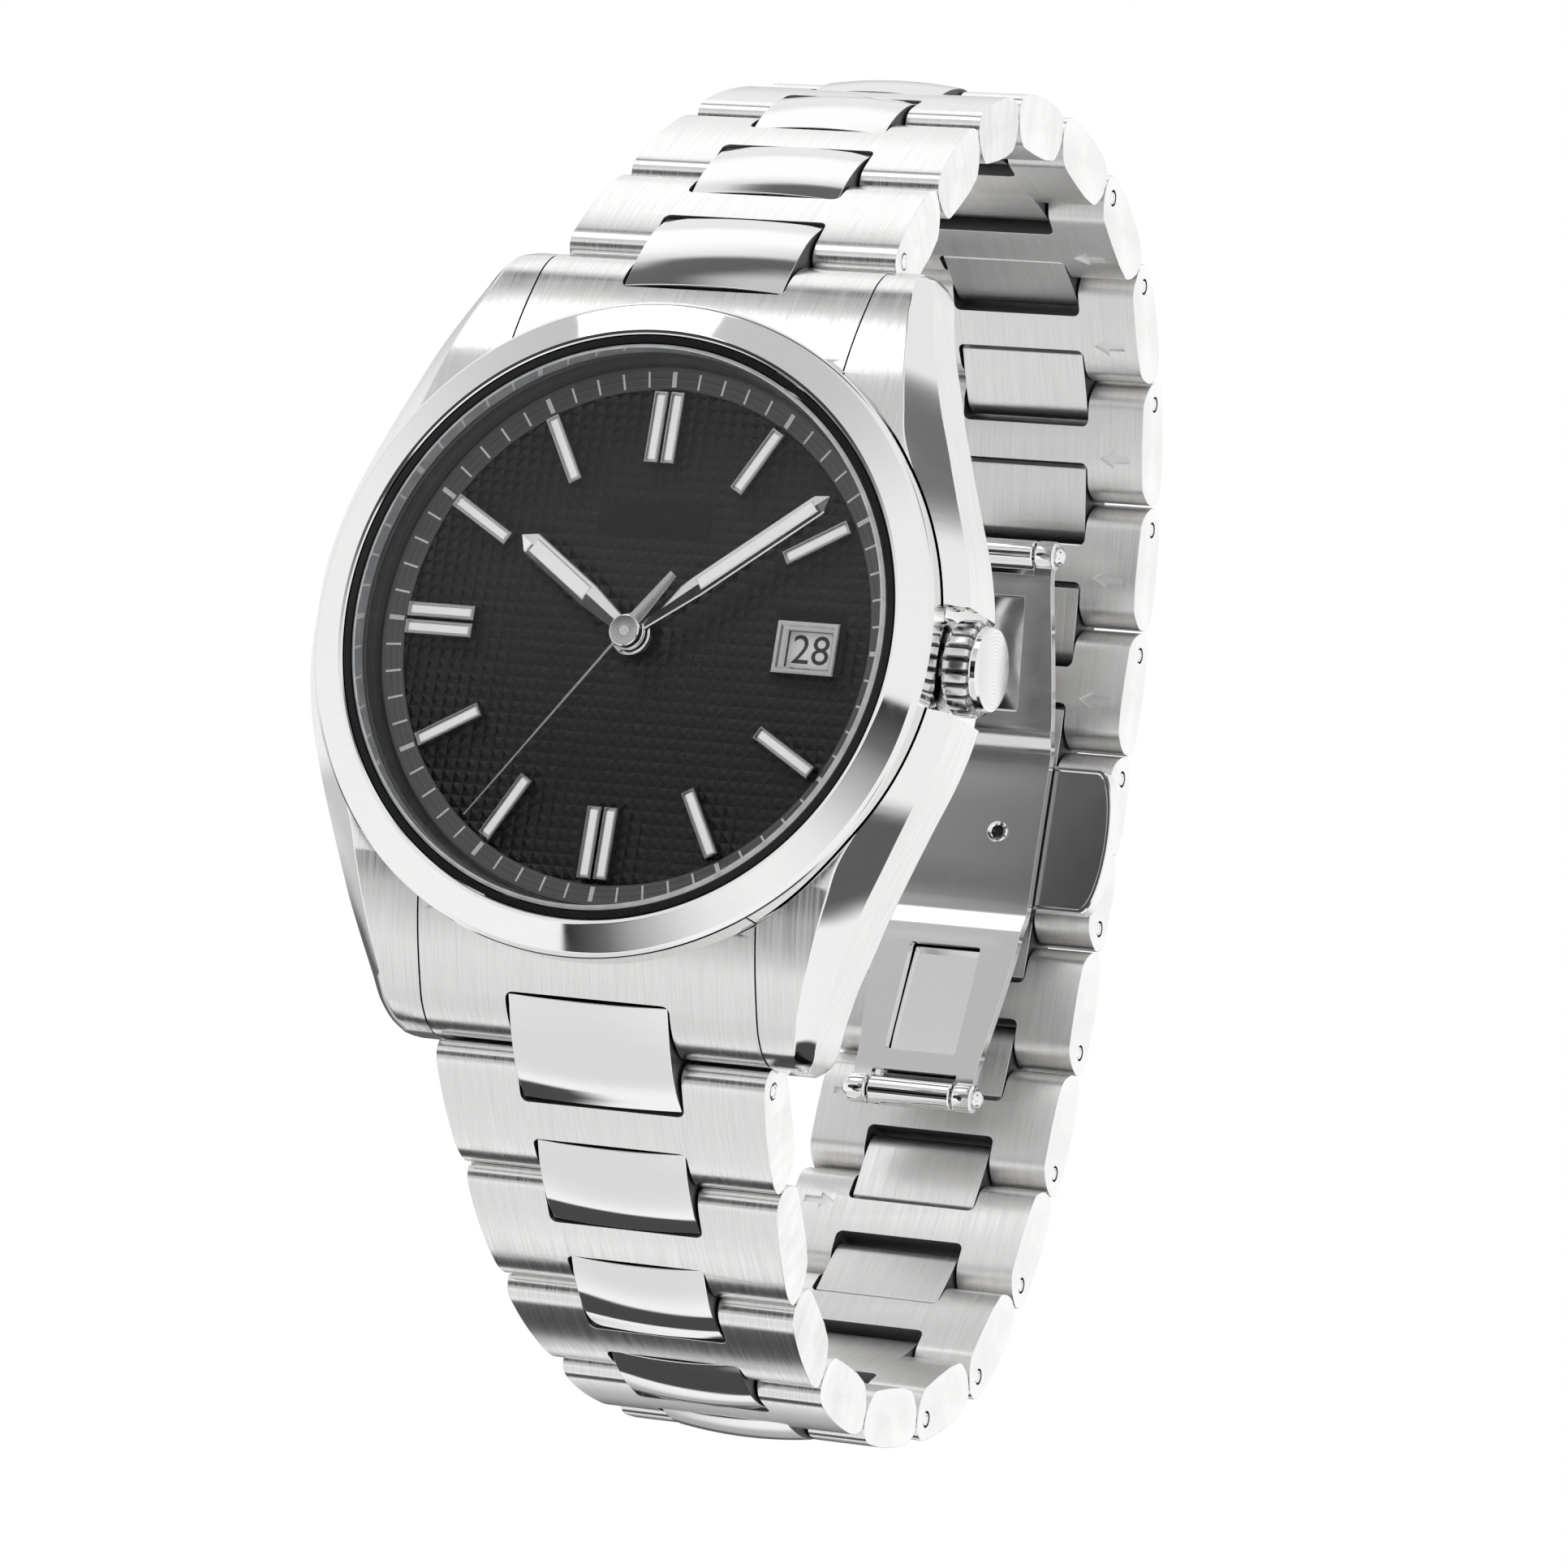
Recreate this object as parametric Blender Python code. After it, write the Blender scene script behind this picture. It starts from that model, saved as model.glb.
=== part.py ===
"""Automatic wristwatch: 40 mm steel case, 22-link H-pattern bracelet, butterfly clasp with two side pushers.

Frame: +X toward three o'clock (the crown), +Z toward twelve o'clock, -Y out of the dial.
The origin is the centre of the case back's outer face. Lengths below are millimetres; depths
along Y are written from the plane of the hour-marker tops (negative in front of it).
"""
import math

import bmesh
import bpy
from mathutils import Vector

MM = 0.001
BACK_DEPTH = 8.4            # case back face behind the marker-top plane

# ---- driving dimensions -------------------------------------------------------------------
ROUND = 48                  # segments of large rounds
SMALL = 20                  # segments of pins and tubes

BEZEL_R, BEZEL_BORE = 18.74, 16.68
BEZEL_TOP, BEZEL_EDGE, BEZEL_FOOT = -2.32, -1.66, -0.02
CRYSTAL_R, CRYSTAL_TOP, CRYSTAL_FOOT = 16.12, -2.36, -1.30
CASE_BORE = 16.05
SEAT_R, SEAT_DEPTH = 18.82, 0.05
DIAL_R, DIAL_FACE, DIAL_FOOT = 15.6, 0.70, 1.05
MARKER_IN, MARKER_OUT, MARKER_W = 9.84, 14.0, 0.87
DOUBLE_OFFSET = 0.51
CROWN_DEPTH = 2.47          # depth of the crown axis
LUG_HALF_GAP = 10.4         # half the distance between the lugs
END_LINK_W = 10.3
BODY_R = 17.3               # round case wall the end links fit against
SPRING_BAR = (5.0, 20.2)    # depth and height of the spring bar axis

# Case stations from the middle to a lug tip: height z, then (x, depth) of the top edge,
# (x, depth) of the flank's front edge, depth of the flank's back edge, (x, depth) of the underside.
STATIONS = (
    (0.0, 18.0, -0.90, 19.90, 0.55, 4.5, 18.2, 7.4),
    (3.0, 17.9, -0.90, 19.80, 0.55, 4.5, 18.1, 7.4),
    (6.0, 17.3, -0.90, 19.15, 0.52, 4.4, 17.5, 7.4),
    (9.0, 16.3, -0.90, 18.10, 0.55, 4.3, 16.5, 7.4),
    (12.0, 14.95, -0.86, 16.95, 0.82, 4.5, 15.4, 7.4),
    (14.0, 14.43, -0.50, 16.15, 1.06, 4.8, 14.8, 7.4),
    (16.0, 13.93, 0.00, 15.40, 1.45, 5.2, 14.2, 7.5),
    (18.0, 13.43, 0.76, 14.62, 2.07, 5.6, 13.7, 7.6),
    (20.0, 12.88, 1.75, 13.90, 2.96, 6.3, 13.2, 7.8),
    (21.4, 12.60, 2.60, 13.45, 3.70, 6.9, 12.9, 7.9),
    (22.3, 12.30, 3.60, 13.00, 4.60, 7.0, 12.6, 7.7),
    (22.8, 11.90, 4.80, 12.50, 5.40, 6.6, 12.2, 7.2),
)

# Bracelet, one side from the case to the clasp seam. Directions are measured from +Y toward +Z.
FIRST_PIN = (6.46, 23.88)
LINK_DIRECTION = (47.2, 40.1, 23.1, 6.5, -9.5, -26.3, -53.0, -69.7, -81.4, -88.8, -90.0)
LINK_PITCH = (8.1,) * 6 + (7.9,) * 5
LINK_HALF_WIDTH = (10.2, 9.72, 9.03, 8.22, 7.88) + (7.87,) * 7
CENTRE_HALF_WIDTH = (4.9, 4.6, 4.15) + (4.05,) * 8
NOTCH_GAP = 0.15            # side gap between a centre link and the H-link around it
LINKS = len(LINK_DIRECTION)

# Clasp
HINGE = (50.75, 17.15)      # far hinge of frame and arm
ARM_EYE = (54.75, 2.0)      # pivot of arm and last link
FRAME_T = 0.65


def at(x, y, z):
    """Row-frame point in metres from millimetres with the depth datum on the marker tops."""
    return (x * MM, (y - BACK_DEPTH) * MM, z * MM)


# ---- materials ----------------------------------------------------------------------------
def material(name, rgb, metallic, rough, alpha=1.0):
    m = bpy.data.materials.new(name)
    m.use_nodes = True
    b = m.node_tree.nodes["Principled BSDF"]
    b.inputs["Base Color"].default_value = (*rgb, 1.0)
    b.inputs["Metallic"].default_value = metallic
    b.inputs["Roughness"].default_value = rough
    b.inputs["Alpha"].default_value = alpha
    return m


FINISH = {
    "brushed": ((0.78, 0.77, 0.76), 1.0, 0.35),
    "polished": ((0.86, 0.85, 0.84), 1.0, 0.08),
    "black": ((0.03, 0.03, 0.032), 0.2, 0.45),
    "grey": ((0.09, 0.09, 0.095), 0.4, 0.4),
    "white": ((0.9, 0.9, 0.88), 0.0, 0.5),
    "glass": ((0.95, 0.97, 0.98), 0.0, 0.02),
    "rubber": ((0.02, 0.02, 0.02), 0.0, 0.6),
    "brass": ((0.75, 0.6, 0.3), 1.0, 0.3),
    "gilt": ((0.8, 0.68, 0.42), 1.0, 0.25),
}


def finish(ob, kind, smooth=False):
    rgb, metallic, rough = FINISH[kind]
    ob.data.materials.clear()
    ob.data.materials.append(material(ob.name + "_" + kind, rgb, metallic, rough, 0.3 if kind == "glass" else 1.0))
    for p in ob.data.polygons:
        p.use_smooth = smooth
    return ob


# ---- solids -------------------------------------------------------------------------------
def solid(name, verts, faces):
    me = bpy.data.meshes.new(name)
    me.from_pydata(verts, [], faces)
    bm = bmesh.new()
    bm.from_mesh(me)
    bmesh.ops.recalc_face_normals(bm, faces=bm.faces)
    bm.to_mesh(me)
    bm.free()
    ob = bpy.data.objects.new(name, me)
    bpy.context.scene.collection.objects.link(ob)
    return ob


def loft(name, rings):
    """Closed solid from equal-length rings of points, the first and last ring capped."""
    n = len(rings[0])
    verts = [p for r in rings for p in r]
    faces = [tuple(range(n)), tuple((len(rings) - 1) * n + i for i in range(n))]
    for k in range(len(rings) - 1):
        for i in range(n):
            j = (i + 1) % n
            faces.append((k * n + i, k * n + j, (k + 1) * n + j, (k + 1) * n + i))
    return solid(name, verts, faces)


def revolve(name, profile, place, segments):
    """Closed (radius, position) profile turned about an axis; place(radius, angle, position) gives the point."""
    verts, index = [], []
    for r, h in profile:
        if r == 0:
            verts.append(place(0, 0, h))
            index.append([len(verts) - 1] * segments)
        else:
            row = []
            for i in range(segments):
                verts.append(place(r, math.tau * i / segments, h))
                row.append(len(verts) - 1)
            index.append(row)
    faces, n = [], len(profile)
    for k in range(n):
        a, b = index[k], index[(k + 1) % n]
        for i in range(segments):
            j = (i + 1) % segments
            ring = []
            for v in (a[i], a[j], b[j], b[i]):
                if v not in ring:
                    ring.append(v)
            if len(ring) > 2:
                faces.append(tuple(ring))
    return solid(name, verts, faces)


def lathe(name, profile, segments=ROUND, centre=(0.0, 0.0)):
    """Round about an axis parallel to Y; profile holds (radius, depth)."""
    cx, cz = centre
    return revolve(name, profile, lambda r, a, h: at(cx + r * math.sin(a), h, cz + r * math.cos(a)), segments)


def lathe_x(name, profile, depth, height, segments=SMALL):
    """Round about an axis parallel to X; profile holds (radius, x)."""
    return revolve(name, profile,
                   lambda r, a, h: at(h, depth + r * math.sin(a), height + r * math.cos(a)), segments)


def rod_x(name, r, x0, x1, depth, height, segments=SMALL):
    return lathe_x(name, ((0, x0), (r, x0), (r, x1), (0, x1)), depth, height, segments)


def rod_y(name, r, y0, y1, x=0.0, z=0.0, segments=SMALL):
    return lathe(name, ((0, y0), (r, y0), (r, y1), (0, y1)), segments, (x, z))


def slab(name, outline, y0, y1):
    """Plate parallel to the dial; outline holds (x, z)."""
    return loft(name, [[at(x, y, z) for x, z in outline] for y in (y0, y1)])


def bar_x(name, profile, x0, x1):
    """Bar along X; profile holds (depth, height)."""
    return loft(name, [[at(x, y, z) for y, z in profile] for x in (x0, x1)])


def box(name, x0, x1, y0, y1, z0, z1):
    return slab(name, ((x0, z0), (x1, z0), (x1, z1), (x0, z1)), y0, y1)


def combine(target, other, operation):
    m = target.modifiers.new("combine", "BOOLEAN")
    m.operation, m.object, m.solver = operation, other, "EXACT"
    bpy.context.view_layer.update()
    graph = bpy.context.evaluated_depsgraph_get()
    me = bpy.data.meshes.new_from_object(target.evaluated_get(graph))
    target.modifiers.clear()
    target.data = me
    bpy.data.objects.remove(other, do_unlink=True)
    return target


def cut(target, other):
    return combine(target, other, "DIFFERENCE")


def fuse(target, other):
    return combine(target, other, "UNION")


def set_origin(ob, x, y, z):
    """Puts the object's origin on its joint axis without moving its surface."""
    p = Vector(at(x, y, z))
    for v in ob.data.vertices:
        v.co -= p
    ob.location = p


def mirrored(points, side):
    """(depth, height) points on the twelve side (+1) or the six side (-1)."""
    return [(y, side * z) for y, z in points]


# ---- case ---------------------------------------------------------------------------------
def case_rings():
    heights = [-s[0] for s in reversed(STATIONS[1:])] + [s[0] for s in STATIONS]
    rings = []
    for h in heights:
        _, xt, yt, xf, yf, yb, xu, yu = next(s for s in STATIONS if s[0] == abs(h))
        half = ((xt, yt), (xf, yf), (xf, yb), (xu, yu))
        rings.append([at(-x, y, h) for x, y in reversed(half)] + [at(x, y, h) for x, y in half])
    return rings


def end_link_slot(name, side, half, radius, deeper):
    """Space between the lugs outside the round case wall."""
    slot = box(name, -half, half, -3, 9, side * 11, side * 26)
    return cut(slot, rod_y(name + "_wall", radius, -4, 10 + deeper, segments=ROUND * 2))


def build_mid_case():
    case = loft("mid_case", case_rings())
    for side in (1, -1):
        cut(case, end_link_slot("slot", side, LUG_HALF_GAP, BODY_R, 0))
        cut(case, rod_x("bar_hole", 0.85, -12.0, 12.0, SPRING_BAR[0], side * SPRING_BAR[1]))
    bore = lathe("bore", ((0, -5), (SEAT_R, -5), (SEAT_R, SEAT_DEPTH), (CASE_BORE, SEAT_DEPTH),
                          (CASE_BORE, 6.95), (16.85, 6.95), (16.85, 12), (0, 12)), ROUND)
    cut(case, bore)
    cut(case, box("crown_notch", 18.6, 22, -3, 9, -2.95, 2.95))
    cut(case, rod_x("tube_hole", 1.28, 15, 19, CROWN_DEPTH, 0))
    return finish(case, "brushed")


def build_case_group():
    build_mid_case()
    finish(lathe("bezel", ((BEZEL_BORE, BEZEL_TOP), (16.95, BEZEL_TOP), (18.5, -1.80), (BEZEL_R, BEZEL_EDGE + 0.1),
                           (BEZEL_R, BEZEL_FOOT), (BEZEL_BORE, BEZEL_FOOT)), ROUND), "polished", True)
    finish(lathe("crystal", ((0, CRYSTAL_TOP), (15.9, CRYSTAL_TOP), (CRYSTAL_R, CRYSTAL_TOP + 0.2),
                             (CRYSTAL_R, CRYSTAL_FOOT), (0, CRYSTAL_FOOT)), ROUND), "glass")
    finish(lathe("crystal_gasket", ((16.2, -2.2), (16.6, -2.2), (16.6, -0.6), (16.2, -0.6)), ROUND), "rubber")
    finish(lathe("rehaut_ring", ((15.7, -1.2), (15.95, -1.2), (15.95, 0.62), (14.2, 0.62), (14.2, 0.5),
                                 (15.5, 0.3)), ROUND), "grey", True)
    build_dial()
    holder = lathe("movement_holder", ((13.7, 1.15), (15.9, 1.15), (15.9, 6.2), (13.7, 6.2)), ROUND)
    cut(holder, rod_x("stem_gap", 0.8, 12, 17, CROWN_DEPTH, 0))
    finish(holder, "white")
    build_movement_plate()
    finish(rod_y("rotor_axle", 0.5, 5.65, 7.1), "polished", True)
    back = lathe("case_back", ((0, 7.55), (14.9, 7.55), (14.9, 6.75), (15.9, 6.75), (15.9, 7.5), (16.7, 7.5),
                               (16.7, 7.9), (15.6, 8.4), (0, 8.4)), ROUND)
    finish(back, "polished")
    finish(lathe("case_back_gasket", ((16.1, 7.0), (16.75, 7.0), (16.75, 7.4), (16.1, 7.4)), ROUND), "rubber")
    finish(lathe_x("crown_tube", ((0.65, 16.6), (1.2, 16.6), (1.2, 19.3), (0.65, 19.3)), CROWN_DEPTH, 0), "polished",
           True)
    for side, tag in ((1, "12"), (-1, "6")):
        build_end_link(side, tag)
        finish(rod_x("spring_bar_" + tag, 0.72, -11.9, 11.9, SPRING_BAR[0], side * SPRING_BAR[1]), "brushed", True)


def bar_marker(angle, offset):
    """One applied hour marker as a radial bar at a clock angle in degrees."""
    a = math.radians(angle)
    out, along = Vector((math.sin(a), math.cos(a))), Vector((math.cos(a), -math.sin(a)))
    corners = []
    for r, s in ((MARKER_IN, -1), (MARKER_OUT, -1), (MARKER_OUT, 1), (MARKER_IN, 1)):
        p = out * r + along * (offset + s * MARKER_W / 2)
        corners.append((p.x, p.y))
    return slab("marker", corners, 0.0, DIAL_FACE + 0.15)


def build_dial():
    dial = rod_y("dial", DIAL_R, DIAL_FACE, DIAL_FOOT, segments=ROUND)
    cut(dial, rod_y("dial_hole", 0.95, 0, 2))
    for hour in range(1, 13):
        if hour == 3:
            continue
        for offset in ((-DOUBLE_OFFSET, DOUBLE_OFFSET) if hour in (6, 9, 12) else (0.0,)):
            fuse(dial, bar_marker(hour * 30, offset))
    fuse(dial, box("date_frame", 8.73, 12.46, 0.05, DIAL_FACE + 0.15, -1.5, 1.5))
    cut(dial, box("date_window", 9.2, 12.0, -1, 2, -1.05, 1.05))
    finish(dial, "black")


def build_movement_plate():
    plate = rod_y("movement_plate", 13.4, 1.5, 5.6, segments=ROUND)
    cut(plate, rod_y("centre_hole", 1.1, 1, 4.4))
    cut(plate, rod_y("barrel_pocket", 4.4, 3.3, 7, -5.0, 5.2, 32))
    cut(plate, rod_y("balance_pocket", 4.1, 3.3, 7, 5.2, -5.6, 32))
    cut(plate, rod_x("stem_hole", 0.8, 7, 15, CROWN_DEPTH, 0))
    finish(plate, "brushed")


def build_end_link(side, tag):
    """Fitted link between the lugs, with the first centre link on it."""
    y1, z1 = FIRST_PIN
    profile = ((-0.86, 11), (-0.86, 12), (-0.5, 14), (0.0, 16), (0.76, 18), (1.75, 20), (2.6, 21.4), (3.6, 22.3),
               (4.6, 22.75), (5.2, 22.78), (5.8, 22.36), (y1, z1 - 1.6), (7.1, 22.4), (7.5, 21.9), (7.5, 16), (7.3, 11))
    link = bar_x("end_link_" + tag, mirrored(profile, side), -END_LINK_W, END_LINK_W)
    dome = local_points(((-5.2, 0.0), (-5.2, 2.0), (-4.9, 2.35), (-3.8, 2.55), (-2.5, 2.5), (-1.0, 2.1), (0.2, 1.6),
                         (0.95, 0.85), (1.22, 0.0), (0.95, -0.82), (0.45, -1.3), (-0.5, -1.5), (-4.0, -1.5)),
                        FIRST_PIN, 57.0)
    fuse(link, bar_x("centre", mirrored(dome, side), -CENTRE_HALF_WIDTH[0], CENTRE_HALF_WIDTH[0]))
    cut(link, rod_y("case_wall", BODY_R + 0.1, -4, 12, segments=ROUND * 2))
    cut(link, rod_y("bezel_clear", SEAT_R + 0.02, -6, SEAT_DEPTH + 0.05, segments=ROUND * 2))
    cut(link, rod_x("bar_hole", 0.82, -11, 11, SPRING_BAR[0], side * SPRING_BAR[1]))
    finish(link, "brushed")


# ---- hands, date, movement ------------------------------------------------------------------
def turned(points, angle):
    """(across, along) points laid along a clock angle; returns (x, z)."""
    a = math.radians(angle)
    return [(s * math.cos(a) + r * math.sin(a), -s * math.sin(a) + r * math.cos(a)) for s, r in points]


def build_hand(name, outline, angle, y0, y1, tube_r, bore_r, hub_r, tube_end):
    hand = slab(name, turned(outline, angle), y0, y1)
    fuse(hand, rod_y("hub", hub_r, y0 - 0.06, y1 + 0.02))
    fuse(hand, rod_y("tube", tube_r, y0, tube_end))
    if bore_r:
        cut(hand, rod_y("bore", bore_r, y0 - 1, tube_end + 1))
    finish(hand, "polished")


def build_moving_inside():
    sword = lambda w0, w1, length: ((-w0, -1.6), (w0, -1.6), (w1, length - 1.4), (0.0, length), (-w1, length - 1.4))
    build_hand("hour_hand", sword(0.55, 0.8, 9.2), 304.33, -0.12, 0.08, 0.85, 0.62, 1.25, 2.2)
    build_hand("minute_hand", sword(0.5, 0.66, 13.8), 52.0, -0.52, -0.34, 0.52, 0.32, 1.0, 2.5)
    needle = ((-0.34, -4.2), (0.34, -4.2), (0.3, -1.5), (0.12, 0.0), (0.05, 13.7), (-0.05, 13.7), (-0.12, 0.0),
              (-0.3, -1.5))
    build_hand("seconds_hand", needle, 215.5, -0.93, -0.80, 0.22, 0, 0.75, 2.8)
    finish(lathe("date_disc", ((8.3, 1.17), (13.3, 1.17), (13.3, 1.34), (8.3, 1.34)), ROUND), "white")

    barrel = lathe("mainspring_barrel", ((0, 3.5), (0.6, 3.5), (0.6, 3.7), (4.1, 3.7), (4.1, 5.0), (0.6, 5.0),
                                         (0.6, 5.4), (0, 5.4)), 32, (-5.0, 5.2))
    finish(barrel, "gilt")
    set_origin(barrel, -5.0, 4.3, 5.2)

    wheel = lathe("balance_wheel", ((3.1, 4.1), (3.7, 4.1), (3.7, 4.6), (3.1, 4.6)), 32, (5.2, -5.6))
    fuse(wheel, box("spoke", 5.2 - 3.4, 5.2 + 3.4, 4.2, 4.5, -5.85, -5.35))
    fuse(wheel, box("spoke", 4.95, 5.45, 4.2, 4.5, -5.6 - 3.4, -5.6 + 3.4))
    fuse(wheel, rod_y("staff", 0.3, 3.5, 5.3, 5.2, -5.6))
    finish(wheel, "gilt")
    set_origin(wheel, 5.2, 4.3, -5.6)

    half = [(12.9 * math.cos(math.pi * i / 20), -12.9 * math.sin(math.pi * i / 20)) for i in range(21)]
    rotor = slab("rotor", [(0.0, 1.4), (-1.4, 0.6)] + [(-x, z) for x, z in half] + [(1.4, 0.6)], 6.0, 6.35)
    inner = [(10.6 * math.cos(math.pi * i / 20), -10.6 * math.sin(math.pi * i / 20)) for i in range(20, -1, -1)]
    fuse(rotor, slab("weight", [(-x, z) for x, z in half] + [(-x, z) for x, z in inner], 6.1, 7.2))
    fuse(rotor, rod_y("hub", 1.7, 5.9, 7.0))
    cut(rotor, rod_y("bore", 0.6, 5, 8))
    finish(rotor, "brushed")


def build_crown():
    flute = lambda r, a: r - (0.16 if round(a / math.tau * 40) % 2 else 0.0)
    profile = ((1.35, 18.85), (2.4, 18.85), (2.7, 19.05), (2.7, 20.2), (2.35, 20.4), (2.2, 20.45), (2.2, 20.9),
               (2.1, 21.0), (0, 21.0), (0, 20.2), (0.55, 20.2), (0.55, 19.6), (1.35, 19.6))
    crown = revolve("crown", profile,
                    lambda r, a, h: at(h, CROWN_DEPTH + (flute(r, a) if r > 2.65 else r) * math.sin(a),
                                       (flute(r, a) if r > 2.65 else r) * math.cos(a)), 40)
    finish(crown, "polished")
    set_origin(crown, 20.0, CROWN_DEPTH, 0)
    stem = rod_x("winding_stem", 0.5, 8.4, 20.15, CROWN_DEPTH, 0)
    finish(stem, "polished", True)
    set_origin(stem, 14.0, CROWN_DEPTH, 0)


# ---- bracelet -----------------------------------------------------------------------------
def local_points(points, pin, direction):
    """(along, outward) points at a pin carried to (depth, height)."""
    c, s = math.cos(math.radians(direction)), math.sin(math.radians(direction))
    return [(pin[0] + a * c - n * s, pin[1] + a * s + n * c) for a, n in points]


def pins():
    """Hinge centres of one bracelet side, from the end link to the last link."""
    out = [FIRST_PIN]
    for k in range(LINKS - 1):
        a = math.radians(LINK_DIRECTION[k])
        out.append((out[-1][0] + LINK_PITCH[k] * math.cos(a), out[-1][1] + LINK_PITCH[k] * math.sin(a)))
    return out


def lobe_profile(pitch):
    e = pitch - 7.9
    return ((-1.28, 0.62), (-0.85, 1.05), (0.3, 1.31), (1.9, 1.48), (3.4, 1.5), (4.9 + e, 1.39), (5.75 + e, 1.12),
            (6.28 + e, 0.7), (6.34 + e, 0.0), (6.28 + e, -0.5), (5.85 + e, -1.21), (5.1 + e, -1.82), (0.5, -1.96),
            (-0.2, -1.85), (-0.75, -1.4), (-1.2, -0.72), (-1.42, 0.0))


def last_profile(length):
    return ((-1.28, 0.62), (-0.85, 1.05), (0.3, 1.31), (1.9, 1.48), (3.3, 1.42), (length - 0.3, 1.1),
            (length, 0.6), (length, -1.6), (length - 0.3, -1.92), (0.5, -1.96), (-0.2, -1.85), (-0.75, -1.4),
            (-1.2, -0.72), (-1.42, 0.0))


def centre_profile(pitch):
    return [(pitch + a, n) for a, n in ((-4.4, 0.7), (-3.9, 1.35), (-2.8, 1.78), (-1.5, 1.9), (-0.4, 1.75),
                                        (0.45, 1.42), (0.95, 0.82), (1.22, 0.0), (0.95, -0.82), (0.45, -1.42),
                                        (0.0, -1.72), (-3.6, -1.72), (-4.4, -1.4))]


def tapered_bar(name, profile, pin, direction, side, inner, outer):
    """Bar along X between inner(a) and outer(a), both functions of the position along the link."""
    placed = mirrored(local_points(profile, pin, direction), side)
    near = [at(inner(a), y, z) for (a, _), (y, z) in zip(profile, placed)]
    far = [at(outer(a), y, z) for (a, _), (y, z) in zip(profile, placed)]
    return loft(name, [near, far])


def build_link(k, side, tag, pin):
    """H-link k joined with the centre link that reaches into the next H-link."""
    name = "link_%s_%02d" % (tag, k + 1)
    direction, pitch, last = LINK_DIRECTION[k], LINK_PITCH[k], k == LINKS - 1
    w0, w1 = LINK_HALF_WIDTH[k], LINK_HALF_WIDTH[k + 1]
    notch0 = CENTRE_HALF_WIDTH[k] + NOTCH_GAP
    notch1 = 0 if last else CENTRE_HALF_WIDTH[k + 1] + NOTCH_GAP
    length = pin[1] - 0.05 if last else pitch
    width = lambda a: w0 + (w1 - w0) * min(1.0, max(0.0, (a + 1.42) / (pitch - 0.1)))
    lobe = last_profile(length) if last else lobe_profile(pitch)
    bar_end = length - 0.4 if last else pitch - 4.1
    middle = ((1.4, 1.38), (1.4, -1.88), (bar_end, -1.88), (bar_end, 1.38))
    link = tapered_bar(name, middle, pin, direction, side, lambda a: -(w1 - 1.0), lambda a: w1 - 1.0)
    split = 2.4
    for sign in (1, -1):
        inner = lambda a: sign * (notch0 if a < split or last else notch1)
        fuse(link, tapered_bar("lobe", lobe, pin, direction, side, inner, lambda a: sign * width(a)))
    if last:
        fuse(link, tapered_bar("block", ((1.4, 1.38), (1.4, -1.92), (length, -1.6), (length, 0.6), (length - 0.3, 1.1),
                                         (3.3, 1.42)), pin, direction, side, lambda a: -notch0 - 0.4,
                               lambda a: notch0 + 0.4))
        y, z = ARM_EYE
        for sign in (1, -1):
            ear = mirrored(((y - 0.55, z - 0.35), (y - 0.55, z + 0.35), (y, z + 0.65), (y + 1.6, z + 0.65),
                            (y + 1.6, z - 0.65), (y, z - 0.65)), side)
            fuse(link, bar_x("ear", ear, sign * 2.6, sign * 3.2))
        cut(link, rod_x("ear_bore", 0.4, -4, 4, y, side * z, 16))
    else:
        c = CENTRE_HALF_WIDTH[k + 1]
        fuse(link, tapered_bar("centre", centre_profile(pitch), pin, direction, side, lambda a: -c, lambda a: c))
    finish(link, "brushed")
    set_origin(link, 0, pin[0], side * pin[1])


def build_bracelet():
    for side, tag in ((1, "12"), (-1, "6")):
        for k, pin in enumerate(pins()):
            build_link(k, side, tag, pin)


# ---- clasp --------------------------------------------------------------------------------
def strip(name, stations, thickness, side=1):
    """Bent plate along (depth, height, half width) stations, thickened outward from the wrist side."""
    rings = []
    for i, (y, z, w) in enumerate(stations):
        a, b = stations[max(0, i - 1)], stations[min(len(stations) - 1, i + 1)]
        t = Vector((b[0] - a[0], b[1] - a[1])).normalized()
        n = Vector((t.y, -t.x)) if t.y > 0 else Vector((-t.y, t.x))
        yo, zo = y + n.x * thickness, z + n.y * thickness
        rings.append([at(-w, y, side * z), at(w, y, side * z), at(w, yo, side * zo), at(-w, yo, side * zo)])
    return loft(name, rings)


def build_frame():
    half = ((53.1, 0.0, 4.75), (53.1, 4.9, 4.75), (52.55, 6.4, 4.75), (52.35, 7.4, 4.7), (51.6, 11.0, 4.4),
            (50.75, 14.8, 4.05), (50.5, 15.9, 4.0), (50.45, 16.7, 4.0))
    frame = strip("clasp_frame", [(y, -z, w) for y, z, w in half[:0:-1]] + list(half), FRAME_T)
    y, z = HINGE
    for side in (1, -1):
        cut(frame, box("arm_slot", -2.8, 2.8, 45, 60, side * 15.85, side * 20))
        cut(frame, box("window", -2.35, 2.35, 45, 60, side * 7.5, side * 14.5))
        for sign in (1, -1):
            fuse(frame, rod_x("knuckle", 0.92, sign * 2.9, sign * 4.1, y, side * z))
        cut(frame, rod_x("pin_bore", 0.5, -6, 6, y, side * z, 16))
    fuse(frame, rod_y("rivet", 0.65, 52.95, 53.3, 2.0, 0, 16))
    cut(frame, rod_y("rivet_hole", 0.35, 52, 55, 2.0, 0, 16))
    finish(frame, "polished")


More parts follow.
